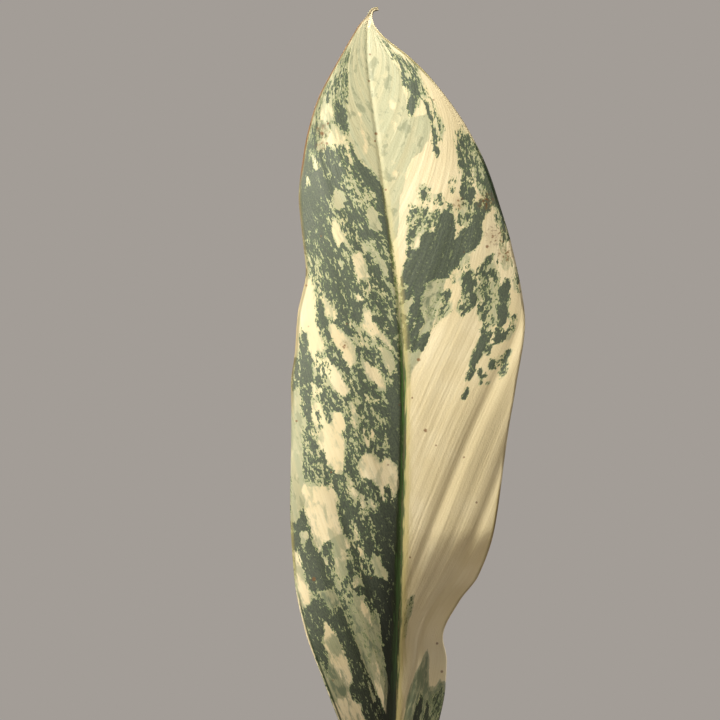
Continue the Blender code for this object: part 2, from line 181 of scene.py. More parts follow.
# Soft folds along the side veins: (height where the fold leaves the midrib, spread, depth)
RIGHT_PLEATS = ((18, 6.6, 0.7), (42, 6.0, 0.2), (66, 6.2, 0.6), (104, 8.0, 0.2), (140, 9.0, 0.3))
LEFT_PLEATS = ((22, 7.0, 0.8), (54, 8.0, 0.8), (88, 9.0, -0.6), (124, 9.0, 0.6), (160, 9.0, 0.5))
# Sharp creases in the pleats' valleys: (height where the crease leaves the midrib, spread, depth)
RIGHT_CREASES = ((68.8, 2.6, 0.3), (21.5, 2.6, 0.25), (79.5, 1.6, 0.06))
EDGE_WAVE_DEPTH = 1.1
EDGE_WAVE_LENGTH = 61.0
EDGE_WAVE_LAG = 0.45
RIPPLE_DEPTH = 0.04
RIPPLE_SPACING = 7.4
# Millimetres across and along the side veins for each one up the midrib
VEIN_SLANT = 0.36
VEIN_LEAN = 0.93
BLADE_EDGE_THICKNESS = 0.3
MIDRIB_DEPTH = ((0, 4.3), (60, 3.2), (150, 2.0), (235, 1.1), (251.5, 0.8))
MIDRIB_HALF_WIDTH = ((0, 2.2), (60, 1.7), (150, 1.2), (251.5, 0.6))
GROOVE_DEPTH = 0.7
LEAF_ROWS = 300
LEAF_COLUMNS = 60
ROW_CROWDING = 1.15
COLUMN_CROWDING = 1.45

# The front view that the leaf's markings are drawn in, in steps of 0.3 mm at the leaf, counted
# right and down from the view's top left corner
VIEW_STEP = 0.3
VIEW_STEPS = 720
VIEW_ACROSS = -12.0
VIEW_HEIGHT = 381.0
VIEW_DISTANCE = 1104.0
SENSOR_WIDTH = 36.0

# Patches of tissue, each laid over the ones before: (how much is dark green, how much of the rest
# is mint, or middle green above 1, and the patch's outline in the front view). What no patch
# covers is cream. The left half is speckled all over, with clearer patches in it.
LEFT_TIP = (
    (0.72, 0.85, ((290, 172), (300, 152), (322, 146), (338, 146), (350, 138), (357, 158), (370, 168),
        (382, 184), (388, 222), (392, 250), (397, 290), (401, 350), (403, 400), (400, 500),
        (398, 600), (395, 745), (389, 850), (384, 850), (350, 745), (330, 700), (303, 610),
        (285, 545), (283, 480), (283, 400), (290, 320), (309, 280), (300, 250), (292, 205))),
    (0.32, 1.2, ((350, 44), (330, 66), (310, 94), (300, 125), (292, 158), (320, 150), (330, 130),
        (350, 140), (348, 105))),
    (0.5, 1.6, ((350, 50), (345, 64), (341, 78), (340, 90), (344, 104), (348, 104), (347, 85))),
    (0.6, 0.8, ((341, 64), (334, 78), (330, 98), (336, 100), (341, 80))),
    (0.6, 0.6, ((325, 92), (331, 92), (331, 103), (325, 102))),
    (0.04, 0.5, ((322, 104), (333, 103), (334, 118), (326, 122), (319, 118))),
    (0.9, 1.0, ((334, 98), (341, 105), (346, 109), (348, 120), (350, 132), (344, 130), (336, 122),
        (335, 110))),
    (0.65, 1.9, ((300, 126), (318, 124), (320, 150), (308, 166), (292, 160))),
    (0.1, 0.8, ((318, 138), (326, 138), (325, 152), (318, 150))),
    (0.05, 0.5, ((331, 123), (337, 127), (344, 140), (338, 144), (332, 136))),
    (0.04, 0.3, ((344, 143), (348, 144), (354, 163), (350, 164))),
    (0.9, 0.9, ((350, 142), (354, 145), (358, 160), (363, 166), (356, 166))),
)
LEFT_UPPER = (
    (0.92, 0.9, ((321, 153), (332, 151), (338, 163), (340, 185), (334, 190), (328, 202), (326, 222),
        (332, 240), (322, 240), (319, 215), (321, 195), (317, 172))),
    (1.0, 1.5, ((290, 166), (313, 156), (319, 170), (320, 200), (318, 240), (290, 240))),
    (0.08, 0.4, ((311, 156), (314, 156), (319, 170), (315, 171))),
    (0.08, 0.4, ((306, 176), (309, 176), (310, 185), (307, 185))),
    (0.0, 1.0, ((336, 189), (342, 190), (345, 198), (343, 208), (338, 210), (331, 203))),
    (0.97, 1.0, ((356, 162), (363, 167), (370, 167), (383, 184), (388, 215), (393, 250), (387, 247),
        (380, 215), (376, 196), (368, 186), (362, 187), (357, 173))),
    (0.42, 0.9, ((346, 176), (360, 178), (376, 196), (380, 214), (372, 214), (360, 210), (345, 190))),
    (0.88, 0.9, ((350, 205), (364, 212), (370, 225), (378, 237), (372, 240), (356, 233), (347, 218))),
    (0.0, 1.0, ((366, 210), (372, 208), (378, 215), (383, 231), (376, 232), (370, 227))),
    (0.05, 0.3, ((331, 216), (336, 218), (343, 230), (351, 244), (350, 252), (343, 242), (338, 250),
        (334, 240), (332, 228))),
    (0.9, 0.9, ((316, 210), (329, 222), (337, 250), (342, 258), (352, 262), (357, 282), (363, 300),
        (361, 316), (352, 322), (346, 338), (338, 332), (333, 322), (329, 322), (326, 328),
        (318, 322), (315, 305), (322, 295), (322, 270), (312, 262), (308, 225))),
)
LEFT_MIDDLE = (
    (0.5, 0.7, ((312, 256), (321, 254), (325, 275), (323, 298), (316, 300), (312, 282))),
    (0.05, 0.8, ((337, 259), (343, 262), (345, 268), (341, 271))),
    (0.3, 0.6, ((304, 250), (309, 250), (311, 264), (306, 278), (300, 265))),
    (0.0, 0.1, ((305, 280), (312, 279), (315, 300), (316, 318), (319, 332), (326, 350), (327, 372),
        (318, 352), (314, 380), (310, 362), (306, 345), (302, 328), (300, 345), (297, 358),
        (288, 358), (286, 320), (300, 300))),
    (0.0, 0.2, ((351, 252), (360, 253), (366, 262), (374, 280), (366, 278), (357, 281), (354, 268))),
    (0.15, 1.0, ((360, 236), (367, 240), (378, 248), (380, 258), (364, 252))),
    (0.02, 0.2, ((354, 293), (361, 294), (364, 300), (357, 301))),
    (0.45, 0.6, ((357, 282), (372, 282), (382, 302), (374, 303), (362, 293))),
    (0.74, 0.9, ((366, 262), (377, 260), (392, 282), (398, 318), (398, 346), (388, 340), (378, 320),
        (372, 298))),
    (0.0, 1.0, ((378, 257), (386, 260), (388, 275), (391, 281), (384, 275), (380, 268))),
    (0.05, 1.0, ((388, 282), (393, 284), (397, 298), (393, 297))),
    (0.4, 0.5, ((350, 318), (364, 322), (378, 338), (386, 354), (372, 348), (356, 346), (350, 335))),
    (0.02, 0.2, ((362, 310), (370, 311), (374, 322), (384, 333), (393, 350), (384, 345), (375, 335),
        (366, 325))),
    (0.03, 0.2, ((321, 295), (330, 300), (338, 313), (335, 322), (326, 316))),
    (0.02, 0.2, ((329, 325), (335, 322), (342, 332), (349, 336), (357, 350), (357, 364), (350, 367),
        (344, 356), (336, 346), (331, 338))),
)
LEFT_LOWER = (
    (0.03, 1.0, ((290, 388), (300, 388), (302, 410), (306, 425), (304, 445), (303, 470), (307, 505),
        (297, 522), (290, 522))),
    (0.88, 0.6, ((296, 362), (299, 370), (297, 388), (292, 390), (293, 375))),
    (0.92, 0.8, ((302, 330), (306, 332), (309, 346), (313, 366), (313, 395), (314, 416), (310, 422),
        (303, 414), (300, 395), (301, 366), (301, 345))),
    (0.0, 0.2, ((311, 382), (316, 384), (315, 402), (323, 400), (325, 410), (333, 412), (342, 411),
        (346, 425), (344, 470), (336, 474), (328, 464), (318, 440), (312, 420))),
    (0.5, 0.5, ((317, 352), (326, 352), (331, 374), (330, 388), (318, 384), (315, 366))),
    (0.0, 0.1, ((318, 386), (323, 387), (323, 393), (319, 395))),
    (0.02, 0.15, ((327, 358), (338, 368), (344, 378), (351, 389), (345, 398), (338, 393), (331, 392),
        (331, 376))),
    (0.0, 0.2, ((360, 358), (368, 362), (379, 372), (387, 385), (388, 395), (378, 388), (370, 379),
        (364, 368))),
    (0.03, 0.5, ((381, 344), (391, 352), (396, 362), (391, 376), (386, 368), (380, 354))),
    (0.7, 0.7, ((349, 371), (364, 377), (377, 387), (390, 396), (402, 380), (402, 484), (396, 470),
        (396, 440), (388, 412), (366, 400), (353, 391))),
    (0.5, 0.7, ((345, 396), (360, 398), (372, 410), (362, 414), (350, 410))),
    (0.66, 0.8, ((356, 406), (376, 404), (390, 414), (397, 440), (396, 457), (378, 460), (370, 452),
        (361, 460), (350, 450), (343, 430), (350, 428))),
    (1.0, 1.0, ((387, 400), (399, 366), (403, 380), (402, 500), (394, 484), (388, 446), (386, 418))),
    (0.05, 0.2, ((369, 428), (373, 428), (376, 436), (371, 436))),
    (0.05, 0.4, ((365, 438), (369, 439), (370, 449), (366, 447))),
    (0.1, 0.3, ((349, 402), (352, 403), (360, 424), (357, 438), (353, 428))),
    (0.9, 0.7, ((320, 398), (327, 402), (333, 418), (331, 424), (327, 421), (323, 408))),
    (0.85, 0.7, ((315, 410), (318, 411), (323, 429), (319, 430))),
    (0.62, 0.7, ((305, 424), (313, 424), (318, 440), (320, 452), (326, 468), (327, 484), (308, 483),
        (304, 465), (303, 448))),
    (0.0, 0.2, ((302, 484), (326, 485), (334, 490), (339, 500), (337, 510), (341, 527), (351, 548),
        (345, 552), (336, 540), (324, 543), (320, 553), (311, 535), (306, 510))),
    (0.85, 0.7, ((321, 460), (326, 463), (341, 490), (339, 499), (333, 487), (326, 476))),
    (0.0, 0.2, ((361, 456), (371, 452), (380, 461), (390, 458), (397, 466), (400, 487), (387, 510),
        (383, 506), (380, 490), (372, 480), (362, 477), (357, 468))),
    (0.9, 0.7, ((385, 486), (389, 483), (392, 498), (388, 508), (384, 494))),
)
LEFT_LOW = (
    (0.4, 0.4, ((345, 478), (358, 478), (360, 492), (352, 502), (344, 492))),
    (0.0, 0.7, ((357, 494), (362, 494), (367, 505), (361, 507))),
    (0.1, 0.7, ((367, 497), (372, 498), (377, 507), (370, 508))),
    (0.92, 0.9, ((336, 500), (346, 502), (356, 510), (368, 535), (378, 556), (366, 545), (352, 522),
        (340, 514))),
    (0.05, 0.2, ((352, 520), (356, 524), (359, 540), (355, 540))),
    (0.1, 0.3, ((358, 545), (362, 548), (365, 558), (360, 556))),
    (1.0, 1.0, ((378, 505), (400, 498), (400, 600), (396, 720), (390, 850), (387, 850), (386, 672),
        (381, 635), (376, 608), (364, 590), (362, 575), (384, 580), (382, 556), (374, 530))),
    (0.05, 1.0, ((372, 556), (378, 556), (388, 572), (387, 581), (376, 575), (369, 562))),
    (0.97, 0.8, ((297, 520), (303, 508), (307, 520), (311, 539), (322, 561), (333, 586), (332, 591),
        (313, 591), (305, 575), (300, 558), (295, 549), (293, 540))),
    (0.0, 0.9, ((300, 531), (308, 531), (308, 540), (304, 546), (301, 541))),
    (0.0, 0.8, ((334, 538), (342, 536), (347, 556), (346, 592), (338, 592), (333, 575))),
    (0.85, 0.8, ((324, 541), (331, 547), (335, 562), (333, 590), (326, 566), (321, 556))),
    (0.0, 0.6, ((324, 556), (328, 556), (329, 567), (325, 565))),
    (0.03, 0.4, ((293, 550), (300, 556), (305, 575), (310, 590), (316, 600), (311, 612), (303, 608),
        (297, 590))),
    (0.95, 0.9, ((303, 612), (312, 600), (322, 600), (328, 610), (340, 608), (348, 624), (358, 650),
        (372, 680), (386, 716), (389, 850), (385, 850), (360, 745), (352, 716), (330, 675),
        (318, 664))),
    (0.0, 1.45, ((321, 592), (332, 589), (340, 596), (339, 607), (329, 608), (323, 600))),
)
LEFT_FOOT = (
    (0.5, 0.8, ((334, 575), (350, 580), (362, 600), (352, 608), (340, 598))),
    (0.05, 0.4, ((352, 580), (358, 576), (363, 585), (355, 587))),
    (0.1, 1.3, ((346, 600), (356, 604), (368, 610), (379, 613), (382, 650), (388, 680), (393, 720),
        (388, 718), (368, 672), (355, 640))),
    (0.0, 0.25, ((354, 594), (362, 596), (369, 611), (372, 627), (366, 620), (358, 608))),
    (0.0, 0.3, ((371, 655), (378, 664), (388, 716), (384, 712), (373, 680))),
    (0.0, 0.25, ((325, 621), (331, 626), (340, 642), (346, 656), (351, 668), (352, 680), (350, 690),
        (352, 700), (362, 704), (361, 712), (372, 725), (383, 810), (345, 750), (332, 700),
        (345, 696), (344, 690), (337, 678), (330, 662), (323, 642))),
    (0.05, 0.9, ((329, 634), (338, 638), (341, 652), (337, 657), (331, 650))),
    (0.0, 1.8, ((327, 662), (334, 668), (347, 690), (345, 698), (337, 698), (330, 684))),
    (0.05, 0.9, ((318, 660), (323, 665), (337, 697), (333, 702))),
    (0.1, 0.6, ((361, 666), (366, 674), (377, 702), (374, 702))),
)
RIGHT_TIP = (
    (0.0, 1.0, ((352, 45), (372, 24), (385, 50), (400, 70), (407, 105), (411, 117), (430, 113),
        (431, 128), (428, 140), (422, 150), (411, 158), (405, 180), (399, 200), (398, 235),
        (392, 245), (387, 215), (384, 190), (372, 170), (357, 158), (350, 140), (348, 110),
        (349, 70))),
    (0.0, 0.6, ((356, 112), (361, 112), (369, 152), (365, 156))),
    (0.0, 0.62, ((390, 100), (396, 104), (397, 176), (392, 176), (388, 140))),
    (0.0, 0.8, ((352, 34), (366, 22), (368, 44), (352, 50))),
    (0.75, 0.8, ((379, 37), (386, 42), (392, 52), (400, 56), (403, 64), (396, 62), (388, 52))),
    (0.62, 0.8, ((400, 57), (409, 60), (417, 67), (420, 78), (425, 88), (427, 97), (420, 95),
        (419, 104), (411, 117), (407, 107), (408, 92), (402, 82), (400, 70))),
    (0.97, 0.9, ((411, 80), (417, 84), (420, 92), (417, 98), (418, 104), (411, 115), (409, 100),
        (410, 90))),
    (0.88, 0.5, ((422, 99), (428, 103), (432, 117), (437, 130), (437, 144), (440, 150), (437, 158),
        (433, 150), (432, 138), (431, 122), (427, 112))),
    (0.42, 0.4, ((429, 98), (436, 105), (442, 119), (444, 130), (441, 143), (437, 128), (433, 110))),
)
RIGHT_UPPER = (
    (0.78, 0.5, ((455, 133), (459, 131), (463, 136), (462, 127), (468, 134), (477, 150), (472, 156),
        (473, 170), (470, 186), (463, 182), (458, 160), (456, 145))),
    (0.55, 1.1, ((468, 140), (480, 150), (498, 171), (506, 190), (508, 206), (490, 205), (484, 197),
        (477, 184), (473, 174))),
    (1.0, 0.8, ((486, 168), (500, 172), (510, 198), (516, 222), (499, 216), (492, 200), (487, 186))),
    (0.97, 0.8, ((461, 186), (468, 181), (474, 188), (477, 197), (470, 201), (460, 200))),
    (0.5, 0.6, ((460, 200), (475, 200), (476, 214), (470, 226), (460, 225), (455, 214))),
    (0.9, 0.6, ((475, 203), (484, 198), (492, 200), (489, 212), (483, 218), (482, 232), (479, 243),
        (473, 247), (466, 248), (469, 228))),
    (0.65, 0.8, ((496, 214), (504, 217), (509, 232), (508, 244), (501, 240))),
    (0.55, 0.6, ((417, 190), (421, 184), (430, 185), (429, 201), (418, 203))),
    (0.6, 0.7, ((410, 202), (426, 206), (431, 214), (432, 240), (420, 250), (407, 256), (408, 222))),
    (0.0, 0.2, ((415, 238), (421, 232), (420, 248), (415, 248))),
    (0.6, 0.4, ((450, 178), (456, 178), (455, 193), (450, 193))),
    (0.5, 0.5, ((434, 195), (442, 194), (443, 204), (435, 205))),
    (0.5, 0.5, ((444, 203), (451, 205), (453, 213), (441, 210))),
    (0.65, 0.6, ((431, 214), (440, 210), (438, 224), (430, 229))),
    (0.1, 0.35, ((497, 240), (508, 244), (514, 262), (508, 272), (496, 264))),
)
RIGHT_MIDDLE = (
    (0.78, 1.2, ((400, 284), (416, 280), (428, 284), (424, 300), (428, 330), (420, 350), (412, 354),
        (404, 352))),
    (1.0, 0.9, ((445, 209), (452, 213), (456, 219), (455, 238), (458, 232), (466, 228), (478, 215),
        (482, 216), (482, 235), (478, 246), (470, 252), (463, 256), (456, 267), (448, 277),
        (437, 279), (428, 282), (422, 290), (418, 300), (419, 312), (414, 318), (416, 300),
        (415, 291), (410, 298), (404, 303), (401, 298), (401, 278), (403, 268), (409, 250),
        (419, 249), (421, 243), (425, 234), (433, 231), (437, 224), (440, 214))),
    (0.05, 0.3, ((455, 240), (456, 229), (461, 224), (459, 233))),
    (0.6, 0.8, ((404, 281), (416, 281), (415, 290), (405, 291))),
    (0.03, 1.0, ((401, 306), (412, 298), (415, 300), (409, 310), (404, 316))),
    (0.8, 0.9, ((404, 316), (413, 318), (421, 310), (422, 319), (426, 319), (424, 327), (419, 333),
        (414, 340), (413, 350), (408, 345), (404, 335))),
    (1.0, 0.8, ((430, 331), (428, 340), (422, 352), (413, 351), (416, 342), (424, 334))),
    (0.1, 1.25, ((429, 281), (437, 278), (446, 279), (443, 292), (440, 303), (436, 317), (430, 332),
        (424, 333), (418, 338), (427, 322), (421, 312), (421, 300), (424, 290))),
    (0.0, 1.0, ((403, 352), (421, 350), (418, 362), (413, 372), (408, 386), (404, 386))),
    (0.58, 0.7, ((439, 306), (443, 292), (450, 290), (452, 308), (448, 314), (441, 319), (434, 327),
        (437, 312))),
    (0.45, 0.5, ((451, 270), (458, 266), (459, 282), (452, 282))),
    (0.4, 0.5, ((460, 255), (470, 256), (468, 266), (459, 268))),
)
RIGHT_MARGIN = (
    (0.55, 0.8, ((461, 270), (470, 268), (477, 276), (478, 300), (470, 309), (462, 316), (458, 310),
        (462, 296))),
    (0.88, 0.6, ((463, 280), (472, 276), (477, 284), (470, 292), (462, 293))),
    (0.9, 0.5, ((468, 299), (476, 292), (478, 299), (470, 308), (462, 315), (459, 308))),
    (0.85, 0.5, ((476, 275), (480, 264), (487, 257), (494, 254), (492, 262), (485, 269), (480, 279))),
    (0.54, 0.8, ((480, 268), (497, 262), (499, 276), (496, 300), (494, 326), (484, 330), (478, 300),
        (478, 286))),
    (0.8, 0.6, ((478, 302), (486, 301), (489, 312), (487, 322), (481, 323), (477, 312))),
    (0.7, 0.6, ((487, 289), (491, 289), (493, 300), (488, 303))),
    (1.0, 0.8, ((505, 279), (510, 278), (508, 312), (506, 322), (500, 329), (504, 332), (507, 337),
        (500, 344), (493, 341), (497, 325), (496, 300), (498, 290))),
    (0.1, 1.0, ((493, 281), (498, 284), (497, 322), (492, 322), (491, 300))),
    (0.6, 0.6, ((509, 312), (516, 315), (514, 328), (508, 341), (504, 334), (510, 326))),
    (0.45, 0.5, ((512, 266), (518, 270), (520, 292), (515, 290))),
    (0.45, 0.5, ((480, 322), (492, 322), (492, 332), (482, 334))),
    (0.92, 0.6, ((480, 336), (486, 329), (491, 333), (488, 345), (482, 356), (476, 366), (470, 369),
        (469, 360), (476, 346))),
    (0.8, 0.5, ((466, 374), (473, 367), (478, 369), (470, 380), (465, 381))),
    (0.9, 0.5, ((463, 395), (466, 389), (470, 390), (466, 399), (461, 399))),
    (0.9, 0.5, ((480, 367), (484, 374), (488, 376), (480, 380), (477, 374))),
    (1.0, 0.5, ((490, 360), (496, 359), (496, 366), (493, 371), (489, 367))),
    (0.9, 0.5, ((499, 355), (503, 355), (500, 367), (497, 364))),
    (0.8, 0.5, ((506, 350), (512, 350), (509, 358), (507, 372), (502, 379), (499, 372), (504, 360))),
    (0.9, 0.5, ((488, 344), (492, 345), (489, 355), (485, 353))),
    (0.8, 0.4, ((479, 381), (482, 380), (482, 385), (480, 385))),
    (0.8, 0.4, ((486, 382), (491, 381), (490, 385), (487, 385))),
)
RIGHT_FOOT = (
    (0.25, 1.0, ((406, 600), (414, 595), (411, 614), (404, 640), (402, 620))),
    (0.0, 1.7, ((428, 650), (429, 688), (434, 689), (440, 681), (455, 684), (452, 706), (450, 718),
        (446, 750), (424, 800), (394, 850), (389, 850), (398, 750), (408, 696), (416, 672))),
    (0.6, 1.8, ((432, 698), (440, 686), (452, 690), (450, 720), (440, 750), (412, 808), (396, 846),
        (406, 790), (430, 750))),
    (1.0, 1.0, ((421, 690), (423, 700), (419, 725), (412, 750), (393, 846), (390, 846), (402, 750),
        (417, 704))),
    (1.0, 1.0, ((426, 700), (430, 706), (430, 720), (424, 750), (404, 804), (400, 804), (418, 750))),
)
TISSUE_PATCHES = (
    LEFT_TIP + LEFT_UPPER + LEFT_MIDDLE + LEFT_LOWER + LEFT_LOW + LEFT_FOOT
    + RIGHT_TIP + RIGHT_UPPER + RIGHT_MIDDLE + RIGHT_MARGIN + RIGHT_FOOT
)
# How softly a patch ends, in steps of the view: more so where it is only partly green
PATCH_EDGE = 1.4
SPECKLED_EDGE = 3.4
SPECKLED_FROM = 0.15
SPECKLED_TO = 0.8

# Small brown marks: (right, down, radius) in the front view
BROWN_MARKS = (
    (370, 54, 1.2), (369, 82, 1.2), (376, 134, 1.8), (375, 142, 1.1), (322, 134, 2.2),
    (327, 144, 1.6), (328, 123, 1.2), (345, 344, 1.2), (419, 361, 2.0), (412, 398, 1.1),
    (425, 429, 1.9), (437, 446, 1.0), (464, 457, 1.1), (297, 420, 1.3), (332, 473, 1.1),
    (477, 503, 1.2), (410, 558, 1.1), (315, 579, 2.2), (437, 643, 1.4), (442, 672, 1.5),
    (487, 246, 1.8), (507, 252, 1.3), (458, 200, 1.1), (386, 190, 1.2), (307, 285, 1.3),
)

# Stained places with brown specks: (right, down, radius) in the front view
STAINS = (
    (486, 200, 12), (495, 236, 13), (505, 256, 11), (458, 204, 8), (322, 130, 9), (320, 145, 7),
    (345, 345, 6),
)

# Colour along the leaf's margins: (side, from, to in mm up the leaf, brown, green, yellow)
MARGIN_TONES = (
    (-1, 196, 252, 1.0, 0.0, 0.3),
    (-1, 128, 200, 0.35, 0.5, 0.4),
    (-1, 30, 78, 0.0, 1.0, 0.0),
    (-1, 78, 100, 0.0, 0.4, 0.8),
    (1, 60, 110, 0.6, 0.0, 0.8),
    (1, 188, 212, 0.0, 1.0, 0.0),
    (1, 226, 248, 0.0, 0.5, 1.0),
    (1, 248, 252, 0.6, 1.0, 0.0),
    (-1, 248, 252, 0.6, 1.0, 0.0),
)


def paint(code):
    """An sRGB hex colour as scene linear red, green and blue."""
    shares = [int(code[i:i + 2], 16) / 255 for i in (1, 3, 5)]
    return tuple(s / 12.92 if s <= 0.04045 else ((s + 0.055) / 1.055) ** 2.4 for s in shares)


def smooth_through(stations, at):
    """A smooth curve through (place, value) stations, which doesn't overshoot them."""
    if at <= stations[0][0]:
        return stations[0][1]
    if at >= stations[-1][0]:
        return stations[-1][1]
    i = max(k for k in range(len(stations) - 1) if stations[k][0] <= at)
    (x0, y0), (x1, y1) = stations[i], stations[i + 1]
    span = x1 - x0
    slope = (y1 - y0) / span

    def tangent(k):
        if k in (0, len(stations) - 1):
            return slope
        before = (stations[k][1] - stations[k - 1][1]) / (stations[k][0] - stations[k - 1][0])
        after = (stations[k + 1][1] - stations[k][1]) / (stations[k + 1][0] - stations[k][0])
        if before * after <= 0:
            return 0.0
        return 2 * before * after / (before + after)

    f = (at - x0) / span
    start = (2 * f**3 - 3 * f**2 + 1) * y0 + (f**3 - 2 * f**2 + f) * span * tangent(i)
    end = (3 * f**2 - 2 * f**3) * y1 + (f**3 - f**2) * span * tangent(i + 1)
    return start + end


def add_object(name, data):
    made = bpy.data.objects.new(name, data)
    bpy.context.scene.collection.objects.link(made)
    return made


def mesh_of(shape, name):
    """A mesh of a bmesh, which is freed."""
    mesh = bpy.data.meshes.new(name)
    shape.to_mesh(mesh)
    shape.free()
    return mesh


def circle(radius, height, segments):
    """A level ring of points round the pot's axis."""
    turns = [TURN * s / segments for s in range(segments)]
    return [Vector((radius * math.cos(turn), radius * math.sin(turn), height)) for turn in turns]


def lofted(name, rings, is_round=True, poles=None):
    """A mesh object over rings of points in mm. Poles are the two points that close a round one."""
    verts = [p for ring in rings for p in ring]
    count = len(rings[0])
    steps = count if is_round else count - 1
    faces = []
    for r in range(len(rings) - 1):
        for c in range(steps):
            d = (c + 1) % count
            faces.append((r * count + c, r * count + d, (r + 1) * count + d, (r + 1) * count + c))
    if poles:
        first = len(verts)
        last = (len(rings) - 1) * count
        verts += poles
        for c in range(count):
            d = (c + 1) % count
            faces.append((first, d, c))
            faces.append((first + 1, last + c, last + d))
    mesh = bpy.data.meshes.new(name)
    mesh.from_pydata([Vector(v) / 1000 for v in verts], [], faces)
    if poles:
        outward = bmesh.new()
        outward.from_mesh(mesh)
        bmesh.ops.recalc_face_normals(outward, faces=outward.faces)
        outward.to_mesh(mesh)
        outward.free()
    mesh.shade_smooth()
    return add_object(name, mesh)


def as_plain_mesh(source, name):
    """A plain mesh object of what the source evaluates to. The source is removed."""
    bpy.context.view_layer.update()
    graph = bpy.context.evaluated_depsgraph_get()
    mesh = bpy.data.meshes.new_from_object(source.evaluated_get(graph), depsgraph=graph)
    source.modifiers.clear()
    bpy.data.objects.remove(source)
    mesh.name = name
    return add_object(name, mesh)


def combined(made, others, operation, name):
    """Joins other objects to made, or cuts them from it, and removes them."""
    group = bpy.data.collections.new(name + "_others")
    bpy.context.scene.collection.children.link(group)
    for other in others:
        group.objects.link(other)
    step = made.modifiers.new(operation.lower(), "BOOLEAN")
    step.operation = operation
    step.operand_type = "COLLECTION"
    step.collection = group
    result = as_plain_mesh(made, name)
    for other in others:
        bpy.data.objects.remove(other)
    bpy.data.collections.remove(group)
    result.data.shade_smooth()
    result.data.set_sharp_from_angle(angle=SHARP_ANGLE)
    return result


def finish_piece(made, materials, node=None):
    """Gives a piece its materials, puts it on the plant and lets it stand for its CAD node."""
    made.data.materials.clear()
    for material in materials:
        made.data.materials.append(material)
    if node:
        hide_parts(node)
    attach(made, "root")


# Kinds of node, and the sockets of the Mix node when it mixes colours
CELLS = "ShaderNodeTexVoronoi"
HELD = "ShaderNodeAttribute"
JOIN = "ShaderNodeCombineXYZ"
MAPPING = "ShaderNodeMapping"
MATH = "ShaderNodeMath"
MIX = "ShaderNodeMix"
NOISE = "ShaderNodeTexNoise"
RANGE = "ShaderNodeMapRange"
SPLIT = "ShaderNodeSeparateXYZ"
VECTOR_MATH = "ShaderNodeVectorMath"
MIX_A = 6
MIX_B = 7
MIX_RESULT = 2


def add_node(tree, kind, inputs=None, give=0, **settings):
    """Adds a node with its settings and gives one of its outputs, or all of them for None. An input
    is given a number or colour, or another node's output."""
    node = tree.nodes.new(kind)
    for name, value in settings.items():
        setattr(node, name, value)
    for key, value in (inputs or {}).items():
        if isinstance(value, bpy.types.NodeSocket):
            tree.links.new(value, node.inputs[key])
        else:
            node.inputs[key].default_value = value
    return node.outputs if give is None else node.outputs[give]


def product(tree, first, *others):
    """Numbers or fields multiplied with each other."""
    for other in others:
        first = add_node(tree, MATH, {0: first, 1: other}, operation="MULTIPLY")
    return first


def layered(tree, base, over, *shares):
    """A colour laid over another, as strongly as the shares multiplied with each other."""
    inputs = {0: product(tree, *shares)}
    for key, colour in ((MIX_A, base), (MIX_B, over)):
        linked = isinstance(colour, bpy.types.NodeSocket)
        inputs[key] = colour if linked else (*colour, 1.0)
    return add_node(tree, MIX, inputs, MIX_RESULT, data_type="RGBA")


def threshold(tree, amount, field, soft):
    """1 where the amount is above the field, with an edge as soft as given."""
    above = add_node(tree, MATH, {0: amount, 1: field}, operation="SUBTRACT")
    return add_node(tree, RANGE, {"Value": above, 1: -soft, 2: soft})


def band(tree, value, low, high, soft):
    """1 where a value is between low and high."""
    rise = add_node(tree, RANGE, {"Value": value, 1: low - soft, 2: low + soft})
    fall = add_node(tree, RANGE, {"Value": value, 1: high + soft, 2: high - soft})
    return product(tree, rise, fall)


def field_of(tree, vector, size, detail=3.0, low=0.37, high=0.63):
    """Cloudy numbers from 0 to 1, in clouds of the given size in the vector's own unit."""
    clouds = add_node(tree, NOISE, {"Vector": vector, "Scale": 1 / size, "Detail": detail})
    return add_node(
        tree, RANGE, {"Value": clouds, 1: low, 2: high}, interpolation_type="SMOOTHSTEP"
    )


def vein_field(tree, veins, length, width, seed, detail=4.0, spread=0.11):
    """Numbers from 0 to 1, in ragged blots that are drawn out along the side veins. Lengths in mm."""
    scale = (1 / length, 1 / width, 1.0)
    placed = add_node(
        tree, MAPPING, {"Vector": veins, "Location": (seed, seed * 1.7, 0.0), "Scale": scale}
    )
    blots = add_node(
        tree, NOISE,
        {"Vector": placed, "Scale": 1.0, "Detail": detail, "Roughness": 0.6, "Distortion": 0.25},
    )
    return add_node(tree, RANGE, {"Value": blots, 1: 0.5 - spread, 2: 0.5 + spread})


def new_material(name, ior, coat=0.0):
    """A material that has no finish yet, its tree, and the place on the object in mm."""
    material = bpy.data.materials.new(name)
    material.use_nodes = True
    tree = material.node_tree
    shader = tree.nodes["Principled BSDF"]
    shader.inputs["IOR"].default_value = ior
    shader.inputs["Coat Weight"].default_value = coat
    place = add_node(tree, "ShaderNodeTexCoord", give="Object")
    place = add_node(tree, VECTOR_MATH, {0: place, "Scale": 1000.0}, operation="SCALE")
    return material, tree, place


def finished(material, colour, field, roughness, height, strength, distance):
    """The material with its colour, the two values that a field moves its roughness between, and
    its relief, whose distance is in mm."""
    tree = material.node_tree
    rough = add_node(tree, RANGE, {"Value": field, 3: roughness[0], 4: roughness[1]})
    bump = add_node(
        tree, "ShaderNodeBump",
        {"Height": height, "Strength": strength, "Distance": distance / 1000},
    )
    shader = tree.nodes["Principled BSDF"]
    for name, socket in (("Base Color", colour), ("Roughness", rough), ("Normal", bump)):
        tree.links.new(socket, shader.inputs[name])
    return material


def vein_rise(share):
    """How far up a side vein has climbed at this share of the half's width, from 0 to 1."""
    return 0.85 * share + 0.15 * math.log(1 - 0.95 * share) / math.log(0.05)


